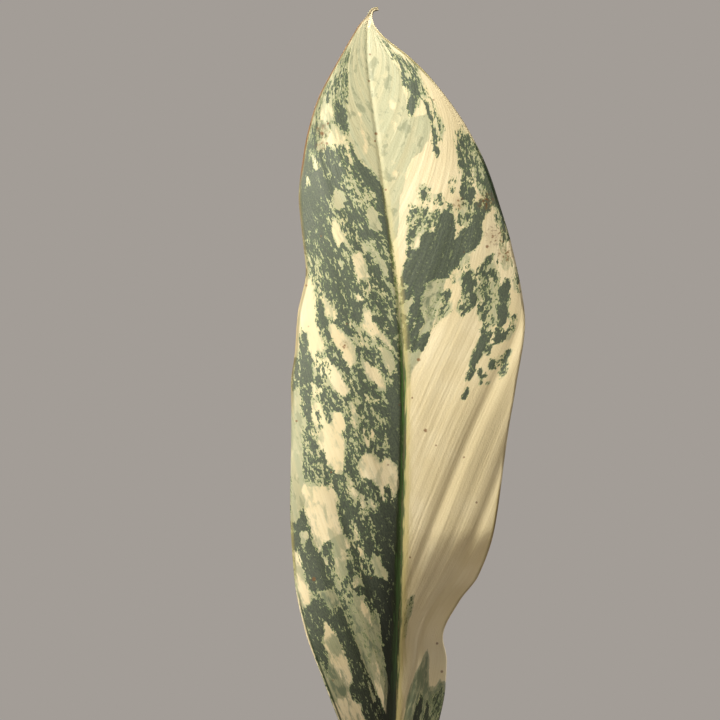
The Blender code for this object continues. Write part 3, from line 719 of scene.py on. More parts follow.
def vein_start(up, share):
    """Height at which the side vein through a point of the leaf leaves the midrib."""
    low = up - VEIN_CLIMB[0][1]
    high = up
    for _ in range(VEIN_HALVINGS):
        middle = (low + high) / 2
        if middle + smooth_through(VEIN_CLIMB, middle) * vein_rise(share) > up:
            high = middle
        else:
            low = middle
    return (low + high) / 2


def pleat_depth(up, share, width, pleats):
    """Depth of the soft folds at a point of one half of the leaf."""
    depth = 0.0
    for start, spread, deep in pleats:
        off = up - start - smooth_through(VEIN_CLIMB, start) * vein_rise(share)
        depth += deep * math.exp(-((off / spread) ** 2))
    return depth * min(1.0, share * width / 9.0) * (1.0 - 0.35 * share**4)


def half_width(up, across):
    return smooth_through(LEFT_HALF if across < 0 else RIGHT_HALF, up)


# What shapes each half of the leaf: fold, roll and its bend, pleats, creases, and the wave's lag
LEFT_SHAPE = (LEFT_FOLD, LEFT_ROLL, LEFT_ROLL_BEND, LEFT_PLEATS, (), 0.0)
RIGHT_SHAPE = (RIGHT_FOLD, RIGHT_ROLL, RIGHT_ROLL_BEND, RIGHT_PLEATS, RIGHT_CREASES, EDGE_WAVE_LAG)


def leaf_point(up, across, start):
    """Point of the leaf's upper face: up in mm from the base, across from -1 to 1 at the edges."""
    folds, rolls, bends, pleats, creases, lag = LEFT_SHAPE if across < 0 else RIGHT_SHAPE
    share = abs(across)
    width = half_width(up, across)
    out = share * width
    softened = math.sqrt(out**2 + 1.0) - 1.0
    roll = smooth_through(rolls, up) * width * share ** smooth_through(bends, up)
    depth = smooth_through(ARCH, up) - smooth_through(folds, up) * softened + roll
    depth += pleat_depth(up, share, width, pleats)
    for crease, spread, deep in creases:
        off = math.sqrt((start - crease) ** 2 + 0.3) / spread
        depth += deep * math.exp(-off) * min(1.0, out / 6.0) * (1.0 - 0.5 * share**4)
    wave = math.sin(TURN * (up / EDGE_WAVE_LENGTH + lag))
    depth += EDGE_WAVE_DEPTH * wave * share**3 * min(1.0, width / 20.0)
    rib = smooth_through(MIDRIB_HALF_WIDTH, up)
    depth += GROOVE_DEPTH * min(1.0, rib / 1.5) * math.exp(-((out / (0.8 * rib)) ** 2))
    # Each side vein lies in a shallow valley of its own
    ripple = math.cos(TURN * (start + 1.5 * math.sin(start * 0.31)) / RIPPLE_SPACING)
    depth += RIPPLE_DEPTH * ripple * min(1.0, out / 6.0) * (1.0 - share**4)
    hook = max(0.0, (up - HOOK_START) / (LEAF_LENGTH - HOOK_START))
    turned = -HOOK_TURN * hook**HOOK_BEND
    side = math.copysign(out, across)
    x = smooth_through(MIDRIB_ACROSS, up) + side * math.cos(turned)
    z = up + side * math.sin(turned)
    return Vector((x, LEAF_BASE.y + depth, LEAF_BASE.z + z))


def blade_depth(up, across, thickness):
    """Thickness of the leaf there: thin at the edge, with the midrib standing out behind it."""
    share = abs(across)
    out = share * half_width(up, across)
    rib = smooth_through(MIDRIB_HALF_WIDTH, up)
    extra = smooth_through(MIDRIB_DEPTH, up) - thickness
    blade = thickness + (BLADE_EDGE_THICKNESS - thickness) * share**8
    return blade + max(0.0, extra) * math.exp(-((out / rib) ** 2))


def in_front_view(point):
    """Where a point of the leaf shows in the front view, in its steps."""
    near = VIEW_DISTANCE / (VIEW_DISTANCE + point.y - LEAF_BASE.y)
    right = VIEW_STEPS / 2 + (point.x - VIEW_ACROSS) * near / VIEW_STEP
    down = VIEW_STEPS / 2 - (point.z - VIEW_HEIGHT) * near / VIEW_STEP
    return (right, down)


def inside_by(points, outline):
    """How far points lie inside a closed outline. Minus is outside."""
    corners = np.array(outline, float)
    nearest = np.full(len(points), 1e9)
    inside = np.zeros(len(points), bool)
    for a, b in zip(corners, np.roll(corners, -1, axis=0)):
        along = b - a
        share = np.clip((points - a) @ along / max(along @ along, 1e-9), 0, 1)
        gap = points - (a + share[:, None] * along)
        nearest = np.minimum(nearest, np.hypot(gap[:, 0], gap[:, 1]))
        if a[1] != b[1]:
            crossing = a[0] + (points[:, 1] - a[1]) * along[0] / along[1]
            between = (a[1] > points[:, 1]) != (b[1] > points[:, 1])
            inside ^= between & (points[:, 0] < crossing)
    return np.where(inside, nearest, -nearest)


def tissue_amounts(view):
    """How much dark green and how much mint is at each place of the front view."""
    amounts = np.zeros((len(view), 2))
    for dark, mint, outline in TISSUE_PATCHES:
        edge = SPECKLED_EDGE if SPECKLED_FROM < dark < SPECKLED_TO else PATCH_EDGE
        low = np.min(outline, axis=0) - 2 * edge
        high = np.max(outline, axis=0) + 2 * edge
        near = np.where(((view > low) & (view < high)).all(axis=1))[0]
        if len(near):
            share = np.clip(0.5 + inside_by(view[near], outline) / (2 * edge), 0, 1)
            share = (share * share * (3 - 2 * share))[:, None]
            amounts[near] = amounts[near] * (1 - share) + np.array((dark, mint)) * share
    return amounts


def margin_tones(up, across):
    """How brown, green and yellow the leaf's margin is at this height."""
    tones = [0.0, 0.0, 0.0]
    for side, low, high, *amounts in MARGIN_TONES:
        if side * across >= 0:
            fade = min(1.0, max(0.0, (up - low) / 6.0), max(0.0, (high - up) / 6.0))
            tones = [max(t, fade * a) for t, a in zip(tones, amounts)]
    return tones


def leaf_mesh(thickness):
    """The leaf with what its finish reads at each point, and the places of its marks and stains."""
    places = []
    for r in range(LEAF_ROWS + 1):
        up = LEAF_LENGTH * (1 - (1 - r / LEAF_ROWS) ** ROW_CROWDING)
        for c in range(-LEAF_COLUMNS, LEAF_COLUMNS + 1):
            across = math.copysign(abs(c / LEAF_COLUMNS) ** COLUMN_CROWDING, c)
            places.append((up, across, vein_start(up, abs(across))))
    points = [leaf_point(*place) for place in places]
    width = 2 * LEAF_COLUMNS + 1
    rows = [points[i:i + width] for i in range(0, len(points), width)]
    leaf = lofted("leaf_sheet", rows, is_round=False)

    view = np.array([in_front_view(p) for p in points])
    out = [across * half_width(up, across) for up, across, _ in places]
    edge = [half_width(up, across) - abs(o) for (up, across, _), o in zip(places, out)]
    # Distance along the side vein, square to the distance across the veins, minus on the left
    along = [
        math.copysign(math.hypot(o, up - start) + VEIN_LEAN * start, o)
        for (up, _, start), o in zip(places, out)
    ]
    dark, mint = tissue_amounts(view).T
    for name, kind, field, values in (
        ("across", "FLOAT", "value", out),
        ("edge", "FLOAT", "value", edge),
        ("dark", "FLOAT", "value", dark),
        ("mint", "FLOAT", "value", mint),
        ("veins", "FLOAT_VECTOR", "vector",
         [(a, start * VEIN_SLANT, 0.0) for a, (_, _, start) in zip(along, places)]),
        ("margin", "FLOAT_VECTOR", "vector", [margin_tones(up, across) for up, across, _ in places]),
    ):
        attribute = leaf.data.attributes.new(name, kind, "POINT")
        attribute.data.foreach_set(field, np.array(values, np.float32).ravel())

    deepest = MIDRIB_DEPTH[0][1]
    group = leaf.vertex_groups.new(name="thickness")
    for i, (up, across, _) in enumerate(places):
        group.add([i], blade_depth(up, across, thickness) / deepest, "REPLACE")
    facing = sum(face.normal.y * face.area for face in leaf.data.polygons)
    if facing > 0:
        leaf.data.flip_normals()
    shell = leaf.modifiers.new("thickness", "SOLIDIFY")
    shell.thickness = deepest / 1000
    shell.offset = -1.0
    shell.vertex_group = group.name
    shell.material_offset = 1
    shell.material_offset_rim = 2
    for _ in range(3):
        leaf.data.materials.append(None)
    found = []
    for spots in (BROWN_MARKS, STAINS):
        found.append([])
        for right, down, radius in spots:
            nearest = int(np.argmin(np.hypot(view[:, 0] - right, view[:, 1] - down)))
            found[-1].append((points[nearest].x, points[nearest].z, radius * VIEW_STEP))
    return as_plain_mesh(leaf, "leaf"), *found


def leaf_tissue(tree, settings, veins, place):
    """Colour of the blade between its ribs: cream, mint and dark green tissue in sharp blocks, with
    painted shade on the green low on the leaf and beside the midrib's foot.
    """
    height = add_node(tree, SPLIT, {0: place}, "Z")
    low = add_node(tree, RANGE, {"Value": height, 1: 440.0, 2: 300.0})
    long_grain = add_node(tree, MAPPING, {"Vector": veins, "Scale": (0.03, 1.2, 1.0)})
    clouds = field_of(tree, place, 20.0)
    colour = layered(tree, settings.cream, settings.cream_shade, clouds, 0.5)
    streaks = field_of(tree, long_grain, 1.0, 4.0)
    colour = layered(tree, colour, settings.cream_shade, streaks, 0.3)

    # Mint tissue is paler towards the tip, and above 1 it turns to a full middle green
    amount = add_node(tree, HELD, give="Fac", attribute_name="mint")
    mint = threshold(tree, product(tree, amount, 1.2), vein_field(tree, veins, 6.0, 3.0, 3.0), 0.3)
    some = add_node(tree, RANGE, {"Value": amount, 1: 0.02, 2: 0.25})
    mint_tone = layered(tree, settings.mint, settings.mint_shade, low)
    streaks = field_of(tree, long_grain, 2.2)
    mint_tone = layered(tree, mint_tone, settings.cream_shade, streaks, 0.25)
    colour = layered(tree, colour, mint_tone, mint, some, 0.9)
    more = add_node(tree, MATH, {0: amount, 1: 1.0}, operation="SUBTRACT")
    middle = threshold(tree, more, vein_field(tree, veins, 4.0, 2.2, 7.0), 0.3)
    colour = layered(tree, colour, settings.green_middle, middle)

    # Green tissue: the blots' rims and the smallest ones are thinner, so paler and fresher green
    blots = vein_field(tree, veins, 3.4, 1.9, 11.0)
    fine = vein_field(tree, veins, 1.0, 0.65, 5.0, 3.0)
    field = add_node(tree, MIX, {0: 0.45, 2: blots, 3: fine})
    even = add_node(tree, RANGE, {"Value": field, 1: 0.14, 2: 0.86})
    amount = add_node(tree, HELD, give="Fac", attribute_name="dark")
    surplus = add_node(tree, MATH, {0: amount, 1: even}, operation="SUBTRACT")
    present = add_node(tree, RANGE, {"Value": amount, 1: 0.04, 2: 0.14})
    for start, end, strength, tone in (
        (-0.4, -0.1, 0.5, settings.green_pale),
        (-0.12, -0.01, 0.75, settings.green_light),
    ):
        rim = add_node(tree, RANGE, {"Value": surplus, 1: start, 2: end})
        colour = layered(tree, colour, tone, rim, present, strength)
    green = add_node(tree, RANGE, {"Value": surplus, 1: -0.03, 2: 0.03})
    thick = add_node(tree, RANGE, {"Value": surplus, 1: 0.02, 2: 0.22})
    solid = add_node(tree, RANGE, {"Value": amount, 1: 0.86, 2: 0.96})
    thick = add_node(tree, MATH, {0: thick, 1: solid}, operation="MAXIMUM")
    # Painted shade: the green is darkened towards the bottom of the leaf, and most beside the midrib at
    # its foot
    across = add_node(tree, HELD, give="Fac", attribute_name="across")
    beside = add_node(tree, MATH, {0: across}, operation="ABSOLUTE")
    beside = add_node(tree, RANGE, {"Value": beside, 1: 16.0, 2: 3.0})
    foot = add_node(tree, RANGE, {"Value": height, 1: 352.0, 2: 312.0})
    deepest = product(tree, foot, beside)
    deep = layered(tree, settings.green, settings.green_shaded, low, 0.4)
    deep = layered(tree, deep, settings.green_shaded, deepest)
    tone = layered(tree, settings.green_fresh, deep, thick)
    # The pale mottling fades out in that painted shade
    mottle = vein_field(tree, veins, 0.7, 0.5, 23.0, 2.0)
    faint = add_node(tree, RANGE, {"Value": deepest, 3: 0.2, 4: 0.01})
    tone = layered(tree, tone, settings.green_light, mottle, faint)
    return layered(tree, colour, tone, green, present)


def leaf_upper(settings, marks, stains):
    """Leaf cuticle, waxy and slightly leathery: it gives a broad soft sheen over sharp-edged
    blocks of cream, mint and dark green, with fine veins pressed into it."""
    material, tree, place = new_material("leaf_cuticle", 1.42)
    veins = add_node(tree, HELD, give="Vector", attribute_name="veins")
    colour = leaf_tissue(tree, settings, veins, place)
    sides = add_node(tree, SPLIT, {0: place}, None)
    up = sides["Z"]

    # The midrib: ragged dark and fresh green lines with a yellow strip at their right, and painted shade
    # over its foot
    rib = add_node(tree, RANGE, {"Value": up, 1: 236.0, 2: 420.0, 3: 1.5, 4: 0.55})
    stretched = add_node(tree, MAPPING, {"Vector": place, "Scale": (1.6, 0.0, 0.16)})
    ragged = add_node(tree, NOISE, {"Vector": stretched, "Scale": 1.0, "Detail": 4.0})
    wobble = add_node(tree, RANGE, {"Value": ragged, 1: 0.35, 2: 0.65, 3: -0.35, 4: 0.35})
    across = add_node(tree, HELD, give="Fac", attribute_name="across")
    share = add_node(tree, MATH, {0: across, 1: rib}, operation="DIVIDE")
    share = add_node(tree, MATH, {0: share, 1: wobble})
    lanes = add_node(tree, MAPPING, {"Vector": place, "Scale": (3.4, 0.0, 0.05)})
    broken = field_of(tree, lanes, 1.0, 3.0, 0.5, 0.56)
    for low, high, soft, fade_top, fade_foot, ragged_share, strength, tone in (
        (0.2, 1.9, 0.5, 410.0, 370.0, 0.0, 0.6, settings.yellow_green),
        (-0.9, 2.6, 0.9, 450.0, 425.0, 0.0, 0.4, settings.yellow_green),
        (-1.5, 0.6, 0.2, 405.0, 380.0, 0.15, 0.95, settings.rib_green),
        (-1.0, 0.8, 0.2, 402.0, 375.0, 1.0, 0.7, settings.rib_fresh),
        (-1.0, -0.3, 0.3, 432.0, 405.0, 0.5, 0.6, settings.rib_fresh),
        # Painted shade over the midrib's foot
        (-2.0, 0.8, 0.4, 325.0, 280.0, 0.0, 0.85, settings.green_shaded),
    ):
        strip = band(tree, share, low, high, soft)
        fade = add_node(tree, RANGE, {"Value": up, 1: fade_top, 2: fade_foot})
        whole = add_node(tree, RANGE, {"Value": broken, 3: 1.0 - ragged_share, 4: 1.0})
        colour = layered(tree, colour, tone, strip, fade, whole, strength)

    # The margin: a thin line of another colour where the cuticle turns over the edge
    edge = add_node(tree, HELD, give="Fac", attribute_name="edge")
    margin = add_node(tree, HELD, give="Vector", attribute_name="margin")
    margin = add_node(tree, SPLIT, {0: margin}, None)
    for amount, low, high, soft, strength, tone in (
        ("Z", -1.0, 0.8, 0.2, 0.7, settings.yellow_green),
        ("X", -1.0, 0.45, 0.15, 0.85, settings.brown),
        ("Y", 0.35, 0.95, 0.15, 0.85, settings.rib_green),
    ):
        line = band(tree, edge, low, high, soft)
        colour = layered(tree, colour, tone, line, margin[amount], strength)

    # Small brown marks, stained places, and a few fainter freckles
    flat = add_node(tree, JOIN, {0: sides["X"], 1: up})
    ragged = add_node(tree, NOISE, {"Vector": flat, "Scale": 1.5})
    stained = field_of(tree, flat, 0.9, 4.0, 0.53, 0.62)
    for is_stain, spots in ((False, marks), (True, stains)):
        for x, z, radius in spots:
            gap = add_node(
                tree, VECTOR_MATH, {0: flat, 1: (x, z, 0.0)}, "Value", operation="DISTANCE"
            )
            if is_stain:
                near = add_node(tree, RANGE, {"Value": gap, 1: radius, 2: radius * 0.3})
                colour = layered(tree, colour, settings.brown, near, 0.18)
                colour = layered(tree, colour, settings.brown, near, stained, 0.75)
            else:
                gap = add_node(
                    tree, MATH, {0: ragged, 1: radius * 0.9, 2: gap}, operation="MULTIPLY_ADD"
                )
                mark = add_node(tree, RANGE, {"Value": gap, 1: radius * 1.6, 2: radius})
                colour = layered(tree, colour, settings.brown, mark, 0.8)
    freckles = add_node(tree, CELLS, {"Vector": flat, "Scale": 0.11})
    freckles = add_node(tree, RANGE, {"Value": freckles, 1: 0.05, 2: 0.02})
    colour = layered(tree, colour, settings.brown, freckles, 0.6)

    # The finest veins, every 0.7 mm, and the grain of the skin's cells between them
    fine_lanes = add_node(tree, MAPPING, {"Vector": veins, "Scale": (0.05, 1.4, 0.0)})
    relief = {0: field_of(tree, fine_lanes, 1.0), 1: 1.2, 2: field_of(tree, place, 0.55, 2.0)}
    height = add_node(tree, MATH, relief, operation="MULTIPLY_ADD")
    return finished(material, colour, field_of(tree, place, 9.0), (0.42, 0.54), height, 0.25, 0.1)


def leaf_underside(settings):
    """Leaf underside: duller and paler than the cuticle, because its surface is open to air, with
    the same tissue showing through and its veins raised."""
    material, tree, place = new_material("leaf_underside", 1.4)
    veins = add_node(tree, HELD, give="Vector", attribute_name="veins")
    colour = leaf_tissue(tree, settings, veins, place)
    colour = layered(tree, colour, settings.underside, 0.42)
    across = add_node(tree, HELD, give="Fac", attribute_name="across")
    away = add_node(tree, MATH, {0: across}, operation="ABSOLUTE")
    colour = layered(tree, colour, settings.rib_pale, band(tree, away, -1.0, 1.9, 0.5), 0.75)
    lanes = add_node(tree, MAPPING, {"Vector": veins, "Scale": (0.05, 0.42, 0.0)})
    height = field_of(tree, lanes, 1.0, 4.0)
    return finished(material, colour, field_of(tree, place, 8.0), (0.55, 0.68), height, 0.5, 0.2)


def leaf_rim(settings):
    """The leaf's cut-thin margin: a dry translucent line that looks straw-coloured to brown."""
    material, tree, place = new_material("leaf_margin", 1.4)
    margin = add_node(tree, HELD, give="Vector", attribute_name="margin")
    margin = add_node(tree, SPLIT, {0: margin}, None)
    patches = field_of(tree, place, 6.0)
    colour = layered(tree, settings.cream_shade, settings.brown, patches, 0.5)
    colour = layered(tree, colour, settings.brown, margin["X"])
    colour = layered(tree, colour, settings.rib_green, margin["Y"])
    return finished(material, colour, patches, (0.45, 0.6), field_of(tree, place, 0.6), 0.3, 0.1)


def swept(name, route, section, rings, segments):
    """A closed stalk through (x, y, z, radius) points. Section gives a ring's radius factor from the
    turn round the stalk, 0 at the front, and the share of the way up."""
    lengths = [0.0]
    for a, b in zip(route, route[1:]):
        lengths.append(lengths[-1] + (Vector(b[:3]) - Vector(a[:3])).length)
    curves = [[(s, p[k]) for s, p in zip(lengths, route)] for k in range(4)]

    def at(distance):
        x, y, z, radius = (smooth_through(curve, distance) for curve in curves)
        return Vector((x, y, z)), radius

    loops = []
    for r in range(rings + 1):
        distance = lengths[-1] * r / rings
        centre, radius = at(distance)
        ahead, _ = at(distance + 0.5)
        behind, _ = at(distance - 0.5)
        forward = (ahead - behind).normalized()
        side = forward.cross(Vector((0, -1, 0)) if abs(forward.z) > 0.3 else Vector((0, 0, 1)))
        side.normalize()
        front = side.cross(forward).normalized()
        loop = []
        for s in range(segments):
            turn = TURN * s / segments
            factor = section(turn, r / rings)
            loop.append(centre + (front * math.cos(turn) + side * math.sin(turn)) * radius * factor)
        loops.append(loop)
    tips = [sum(loop, Vector()) / len(loop) for loop in (loops[0], loops[-1])]
    return lofted(name, loops, poles=tips)


def turned_away(turn, towards):
    """How far a turn is from another, from 0 to half a turn."""
    gap = abs(turn - towards) % TURN
    return min(gap, TURN - gap)


def petiole_section(turn, share):
    """Round, with a channel down the front, and two wings where it clasps the stem."""
    front = turned_away(turn, 0.0)
    channel = 0.2 * math.exp(-((front / 0.42) ** 2)) * min(1.0, share / 0.1)
    clasp = max(0.0, 1 - share / 0.22)
    wings = 0.24 * clasp * math.exp(-(((front - 0.75) / 0.25) ** 2))
    ridges = 0.012 * math.cos(turn * 14) * min(1.0, share / 0.05)
    open_front = 0.3 * clasp * math.exp(-((front / 0.5) ** 2))
    return 1.0 - channel - open_front + wings + ridges


def bud_section(turn, share):
    """A rolled sheath: one edge laps over the other on the front, and a keel runs down the back."""
    lap = turn - 0.35 - 0.5 * share
    seam = 0.1 * math.exp(-((lap / 0.25) ** 2)) * (1 if lap > 0 else 0.2)
    keel = 0.08 * math.exp(-((turned_away(turn, math.pi) / 0.25) ** 2))
    ribs = 0.012 * math.cos(turn * 18)
    return 1.0 + (seam + keel + ribs) * (1 - share)


def stalk_finish(name, base, shade, fleck, dull):
    """Fresh plant skin, smooth and a little waxy: fine lines run along it, and its colour changes
    softly with flecks of cream from the variegation."""
    material, tree, place = new_material(name, 1.42, 0.06)
    lengthwise = add_node(tree, MAPPING, {"Vector": place, "Scale": (1.0, 1.0, 0.09)})
    colour = layered(tree, base, shade, field_of(tree, lengthwise, 2.2))
    flecks = field_of(tree, lengthwise, 0.8, 4.0, 0.52, 0.66)
    colour = layered(tree, colour, fleck, flecks, 0.7)
    dots = add_node(tree, CELLS, {"Vector": place, "Scale": 0.7})
    dots = add_node(tree, RANGE, {"Value": dots, 1: 0.16, 2: 0.1})
    colour = layered(tree, colour, shade, dots, 0.35)
    lines = field_of(tree, lengthwise, 0.35)
    return finished(material, colour, lines, (dull - 0.04, dull + 0.1), lines, 0.35, 0.12)


def stem_finish(settings):
    """Young aroid stem: green skin going corky. Rings and cracks catch the light, and the old leaf
    scars are brown."""
    material, tree, place = new_material("stem_skin", 1.42)
    colour = layered(tree, settings.stem, settings.stem_brown, field_of(tree, place, 5.0))
    height = add_node(tree, SPLIT, {0: place}, "Z")
    for node in STEM_NODE_HEIGHTS:
        scar = band(tree, height, node - 1.0, node + 1.2, 0.6)
        colour = layered(tree, colour, settings.stem_brown, scar, 0.6)
    low = add_node(tree, RANGE, {"Value": height, 1: 101.0, 2: 93.0})
    colour = layered(tree, colour, settings.root, low, 0.65)
    crackle = add_node(tree, MAPPING, {"Vector": place, "Scale": (1.0, 1.0, 0.35)})
    cork = field_of(tree, crackle, 0.9, 5.0)
    colour = layered(tree, colour, settings.stem_brown, cork, 0.3)
    return finished(material, colour, cork, (0.5, 0.8), cork, 0.6, 0.3)


def stem_radius(height):
    """Radius of the stem: plain in the mix, wider above it with a swelling at each node."""
    if height < SOIL_LEVEL + SOIL_MOUND - 3:
        return STEM_RADIUS
    lift = (height - SOIL_LEVEL) / (STEM_TOP - SOIL_LEVEL)
    radius = STEM_RADIUS + (STEM_TOP_RADIUS - STEM_RADIUS) * max(0.0, lift)
    for node in STEM_NODE_HEIGHTS:
        off = height - node
        radius += STEM_NODE_SWELL * math.exp(-((off / STEM_NODE_SPREAD) ** 2))
        # The scar of a fallen sheath: a thin groove just above the swelling
        radius -= SCAR_DEPTH * math.exp(-(((off - SCAR_LIFT) / SCAR_WIDTH) ** 2))
    return radius


def stem_mesh():
    """The stem, oval towards its top, with the air roots grown out of it."""
    steps = 150
    segments = 96
    rings = []
    for i in range(steps + 1):
        height = STEM_FOOT + (STEM_TOP - STEM_FOOT) * i / steps
        below_top = STEM_TOP - height
        radius = stem_radius(height)
        if below_top < STEM_TOP_ROUNDING:
            drop = 1 - below_top / STEM_TOP_ROUNDING
            radius -= STEM_TOP_ROUNDING * (1 - math.sqrt(max(0.0, 1 - drop**2)))
        wider = 1 + STEM_TOP_WIDER * max(0.0, (height - SOIL_LEVEL) / (STEM_TOP - SOIL_LEVEL)) ** 2
        ring = []
        for s in range(segments):
            turn = TURN * s / segments
            spot = Vector((math.cos(turn), math.sin(turn), height * 0.08))
            uneven = 1 + 0.012 * noise.noise(spot * 2.2) + 0.006 * noise.noise(spot * 9.0)
            ring.append(Vector((
                radius * uneven * wider * math.cos(turn), radius * uneven * math.sin(turn), height
            )))
        rings.append(ring)
    poles = [Vector((0, 0, STEM_FOOT)), Vector((0, 0, STEM_TOP))]
    stem = lofted("stem_skin", rings, poles=poles)
    roots = []
    for i, bearing in enumerate(ROOT_BEARINGS):
        direction = Vector((math.cos(math.radians(bearing)), math.sin(math.radians(bearing))))
        start = ROOT_START + ROOT_START_STEP * i
        end = direction * ROOT_REACH
        rest = soil_height(end.x, end.y) + 2.4
        steps_out = [(out, start + lift, radius) for out, lift, radius in ROOT_NEAR]
        steps_out.append((ROOT_REACH, rest + 0.4, 1.1))
        steps_out.append((ROOT_REACH + 3.0, rest, ROOT_TIP_RADIUS))
        steps_out.append((ROOT_REACH + 3.9, rest - 0.1, 0.25))
        route = [(direction.x * o, direction.y * o, h, r) for o, h, r in steps_out]
        roots.append(swept(f"root_{i}", route, lambda turn, share: 1 + 0.03 * math.cos(turn * 7), 40, 20))
    return combined(stem, roots, "UNION", "stem_and_air_roots")


def pot_inner_radius(height):
    """Inside radius of the pot's wall at a height above the ground."""
    low = POT_FOOT_RADIUS - POT_WALL
    high = POT_RIM_RADIUS - POT_WALL - COLLAR_SLOPE
    share = (height - POT_FLOOR) / (POT_HEIGHT - POT_FLOOR)
    return low + (high - low) * share


def soil_height(x, y):
    """Height of the mix's surface above the pot's foot: a low mound with crumbs on it."""
    share = math.hypot(x, y) / pot_inner_radius(SOIL_LEVEL)
    crumbs = noise.noise(Vector((x, y, 3.0)) * 0.16) + 0.5 * noise.noise(Vector((x, y, 9.0)) * 0.4)
    return SOIL_LEVEL + SOIL_MOUND * (1 - share**2) - SOIL_SINK + SOIL_RELIEF * crumbs


def rounded_profile(corners, radius, steps, spacing):
    """A profile of (radius, height) corners with rounded corners and points along its runs."""
    arcs = []
    for i, corner in enumerate(corners):
        here = Vector(corner)
        if i in (0, len(corners) - 1):
            arcs.append([here])
            continue
        start = here + (Vector(corners[i - 1]) - here).normalized() * radius
        end = here + (Vector(corners[i + 1]) - here).normalized() * radius
        shares = [k / steps for k in range(steps + 1)]
        arcs.append([start * (1 - f) ** 2 + here * 2 * f * (1 - f) + end * f**2 for f in shares])
    points = list(arcs[0])
    for arc in arcs[1:]:
        gap = arc[0] - points[-1]
        count = max(1, int(gap.length / spacing))
        points += [points[-1] + gap * (k / count) for k in range(1, count)]
        points += arc
    return points


def pot_mesh(segments):
    """The clay pot: a thick collar over a tapering wall, turned with fine uneven rings."""
    collar_foot = POT_HEIGHT - COLLAR_HEIGHT
    corners = (
        (0.0, POT_FLOOR),
        (pot_inner_radius(POT_FLOOR), POT_FLOOR),
        (pot_inner_radius(POT_HEIGHT), POT_HEIGHT),
        (POT_RIM_RADIUS, POT_HEIGHT),
        (POT_RIM_RADIUS - COLLAR_TAPER, collar_foot),
        (POT_RIM_RADIUS - COLLAR_TAPER - COLLAR_STEP, collar_foot - COLLAR_SLOPE),
        (POT_FOOT_RADIUS, 0.0),
        (0.0, 0.0),
    )
    profile = rounded_profile(corners, POT_EDGE_ROUNDING, 6, 2.2)
    rings = []
    for radius, height in profile[1:-1]:
        ring = []
        on_wall = height > 2.5 and radius > pot_inner_radius(POT_FLOOR) - 2
        for s in range(segments):
            turn = TURN * s / segments
            spot = Vector((math.cos(turn), math.sin(turn), height * 0.9))
            uneven = 0.14 * noise.noise(Vector((0.3, 0.7, height * 0.45)))
            uneven += 0.12 * noise.noise(spot * 2.0)
            kept = radius - abs(uneven) if on_wall else radius
            ring.append(Vector((kept * math.cos(turn), kept * math.sin(turn), height)))
        rings.append(ring)
    pot = lofted("pot_wall", rings, poles=[Vector((0, 0, POT_FLOOR)), Vector((0, 0, 0))])
    cutters = []
    for place in circle(DRAIN_RING / 1000, 0.0, DRAIN_HOLES):
        shape = bmesh.new()
        bmesh.ops.create_cone(
            shape, cap_ends=True, segments=40, radius1=DRAIN_RADIUS / 1000,
            radius2=DRAIN_RADIUS / 1000, depth=4 * POT_FLOOR / 1000,
        )
        bmesh.ops.translate(shape, verts=shape.verts, vec=place)
        cutters.append(add_object("drain", mesh_of(shape, "drain")))
    return combined(pot, cutters, "DIFFERENCE", "clay_pot")


def clay_finish(settings):
    """Unglazed fired clay: dry and matt with fine pits. Lime from the water has left a pale bloom
    on it, and it is darker where the mix keeps it damp."""
    material, tree, place = new_material("fired_clay", 1.5)
    clouds = field_of(tree, place, 30.0, 3.0, 0.25, 0.75)
    colour = layered(tree, settings.clay, settings.clay_dark, clouds)
    rings = add_node(tree, MAPPING, {"Vector": place, "Scale": (0.03, 0.03, 1.0)})
    ring_field = field_of(tree, rings, 2.4, 4.0)
    colour = layered(tree, colour, settings.clay_dark, ring_field, 0.22)
    specks = add_node(tree, CELLS, {"Vector": place, "Scale": 0.9})
    specks = add_node(tree, RANGE, {"Value": specks, 1: 0.2, 2: 0.1})
    colour = layered(tree, colour, settings.clay_pale, specks, 0.35)
    height = add_node(tree, SPLIT, {0: place}, "Z")
    bloom_here = add_node(tree, RANGE, {"Value": height, 1: 5.0, 2: 70.0, 3: 0.66, 4: 0.2})
    bloom = threshold(tree, bloom_here, field_of(tree, place, 18.0, 9.0, 0.28, 0.72), 0.5)
    colour = layered(tree, colour, settings.lime, bloom, 0.3)
    rim = add_node(tree, RANGE, {"Value": height, 1: 99.0, 2: 104.0})
    colour = layered(tree, colour, settings.clay_pale, rim, field_of(tree, place, 7.0, 5.0), 0.5)
    pits = field_of(tree, place, 0.5, 4.0)
    relief = add_node(tree, MATH, {0: ring_field, 1: 0.8, 2: pits}, operation="MULTIPLY_ADD")
    return finished(material, colour, pits, (0.8, 0.95), relief, 0.45, 0.25)


def soil_mesh():
    """The mix fills the pot: a crumbly top, with a plain hole for the stem."""
    segments = 180
    hole = STEM_RADIUS + 0.15
    edge = pot_inner_radius(SOIL_LEVEL) - CLEARANCE
    rows = 46
    rings = [circle(hole, height, segments) for height in (STEM_FOOT - CLEARANCE, SOIL_LEVEL - 4)]
    for i in range(rows + 1):
        share = i / rows
        ring = []
        for s in range(segments):
            turn = TURN * s / segments
            out = hole + (edge - hole) * share
            x = out * math.cos(turn)
            y = out * math.sin(turn)
            height = soil_height(x, y)
            crumb = noise.noise(Vector((x, y, 1.0)) * 0.9) + 0.5 * noise.noise(Vector((x, y, 5.0)) * 2.2)
            height += CRUMB_HEIGHT * crumb * min(1.0, (1 - share) * 20)
            limit = pot_inner_radius(height) - CLEARANCE
            kept = min(out, hole + share * (limit - hole))
            ring.append(Vector((kept * math.cos(turn), kept * math.sin(turn), height)))
        rings.append(ring)
    floor = POT_FLOOR + CLEARANCE
    bevel_top = floor + SOIL_FOOT_BEVEL
    rings.append(circle(pot_inner_radius(bevel_top) - CLEARANCE, bevel_top, segments))
    rings.append(circle(pot_inner_radius(floor) - CLEARANCE - SOIL_FOOT_BEVEL, floor, segments))
    poles = [Vector((0, 0, STEM_FOOT - CLEARANCE)), Vector((0, 0, floor))]
    return lofted("potting_mix", rings, poles=poles)


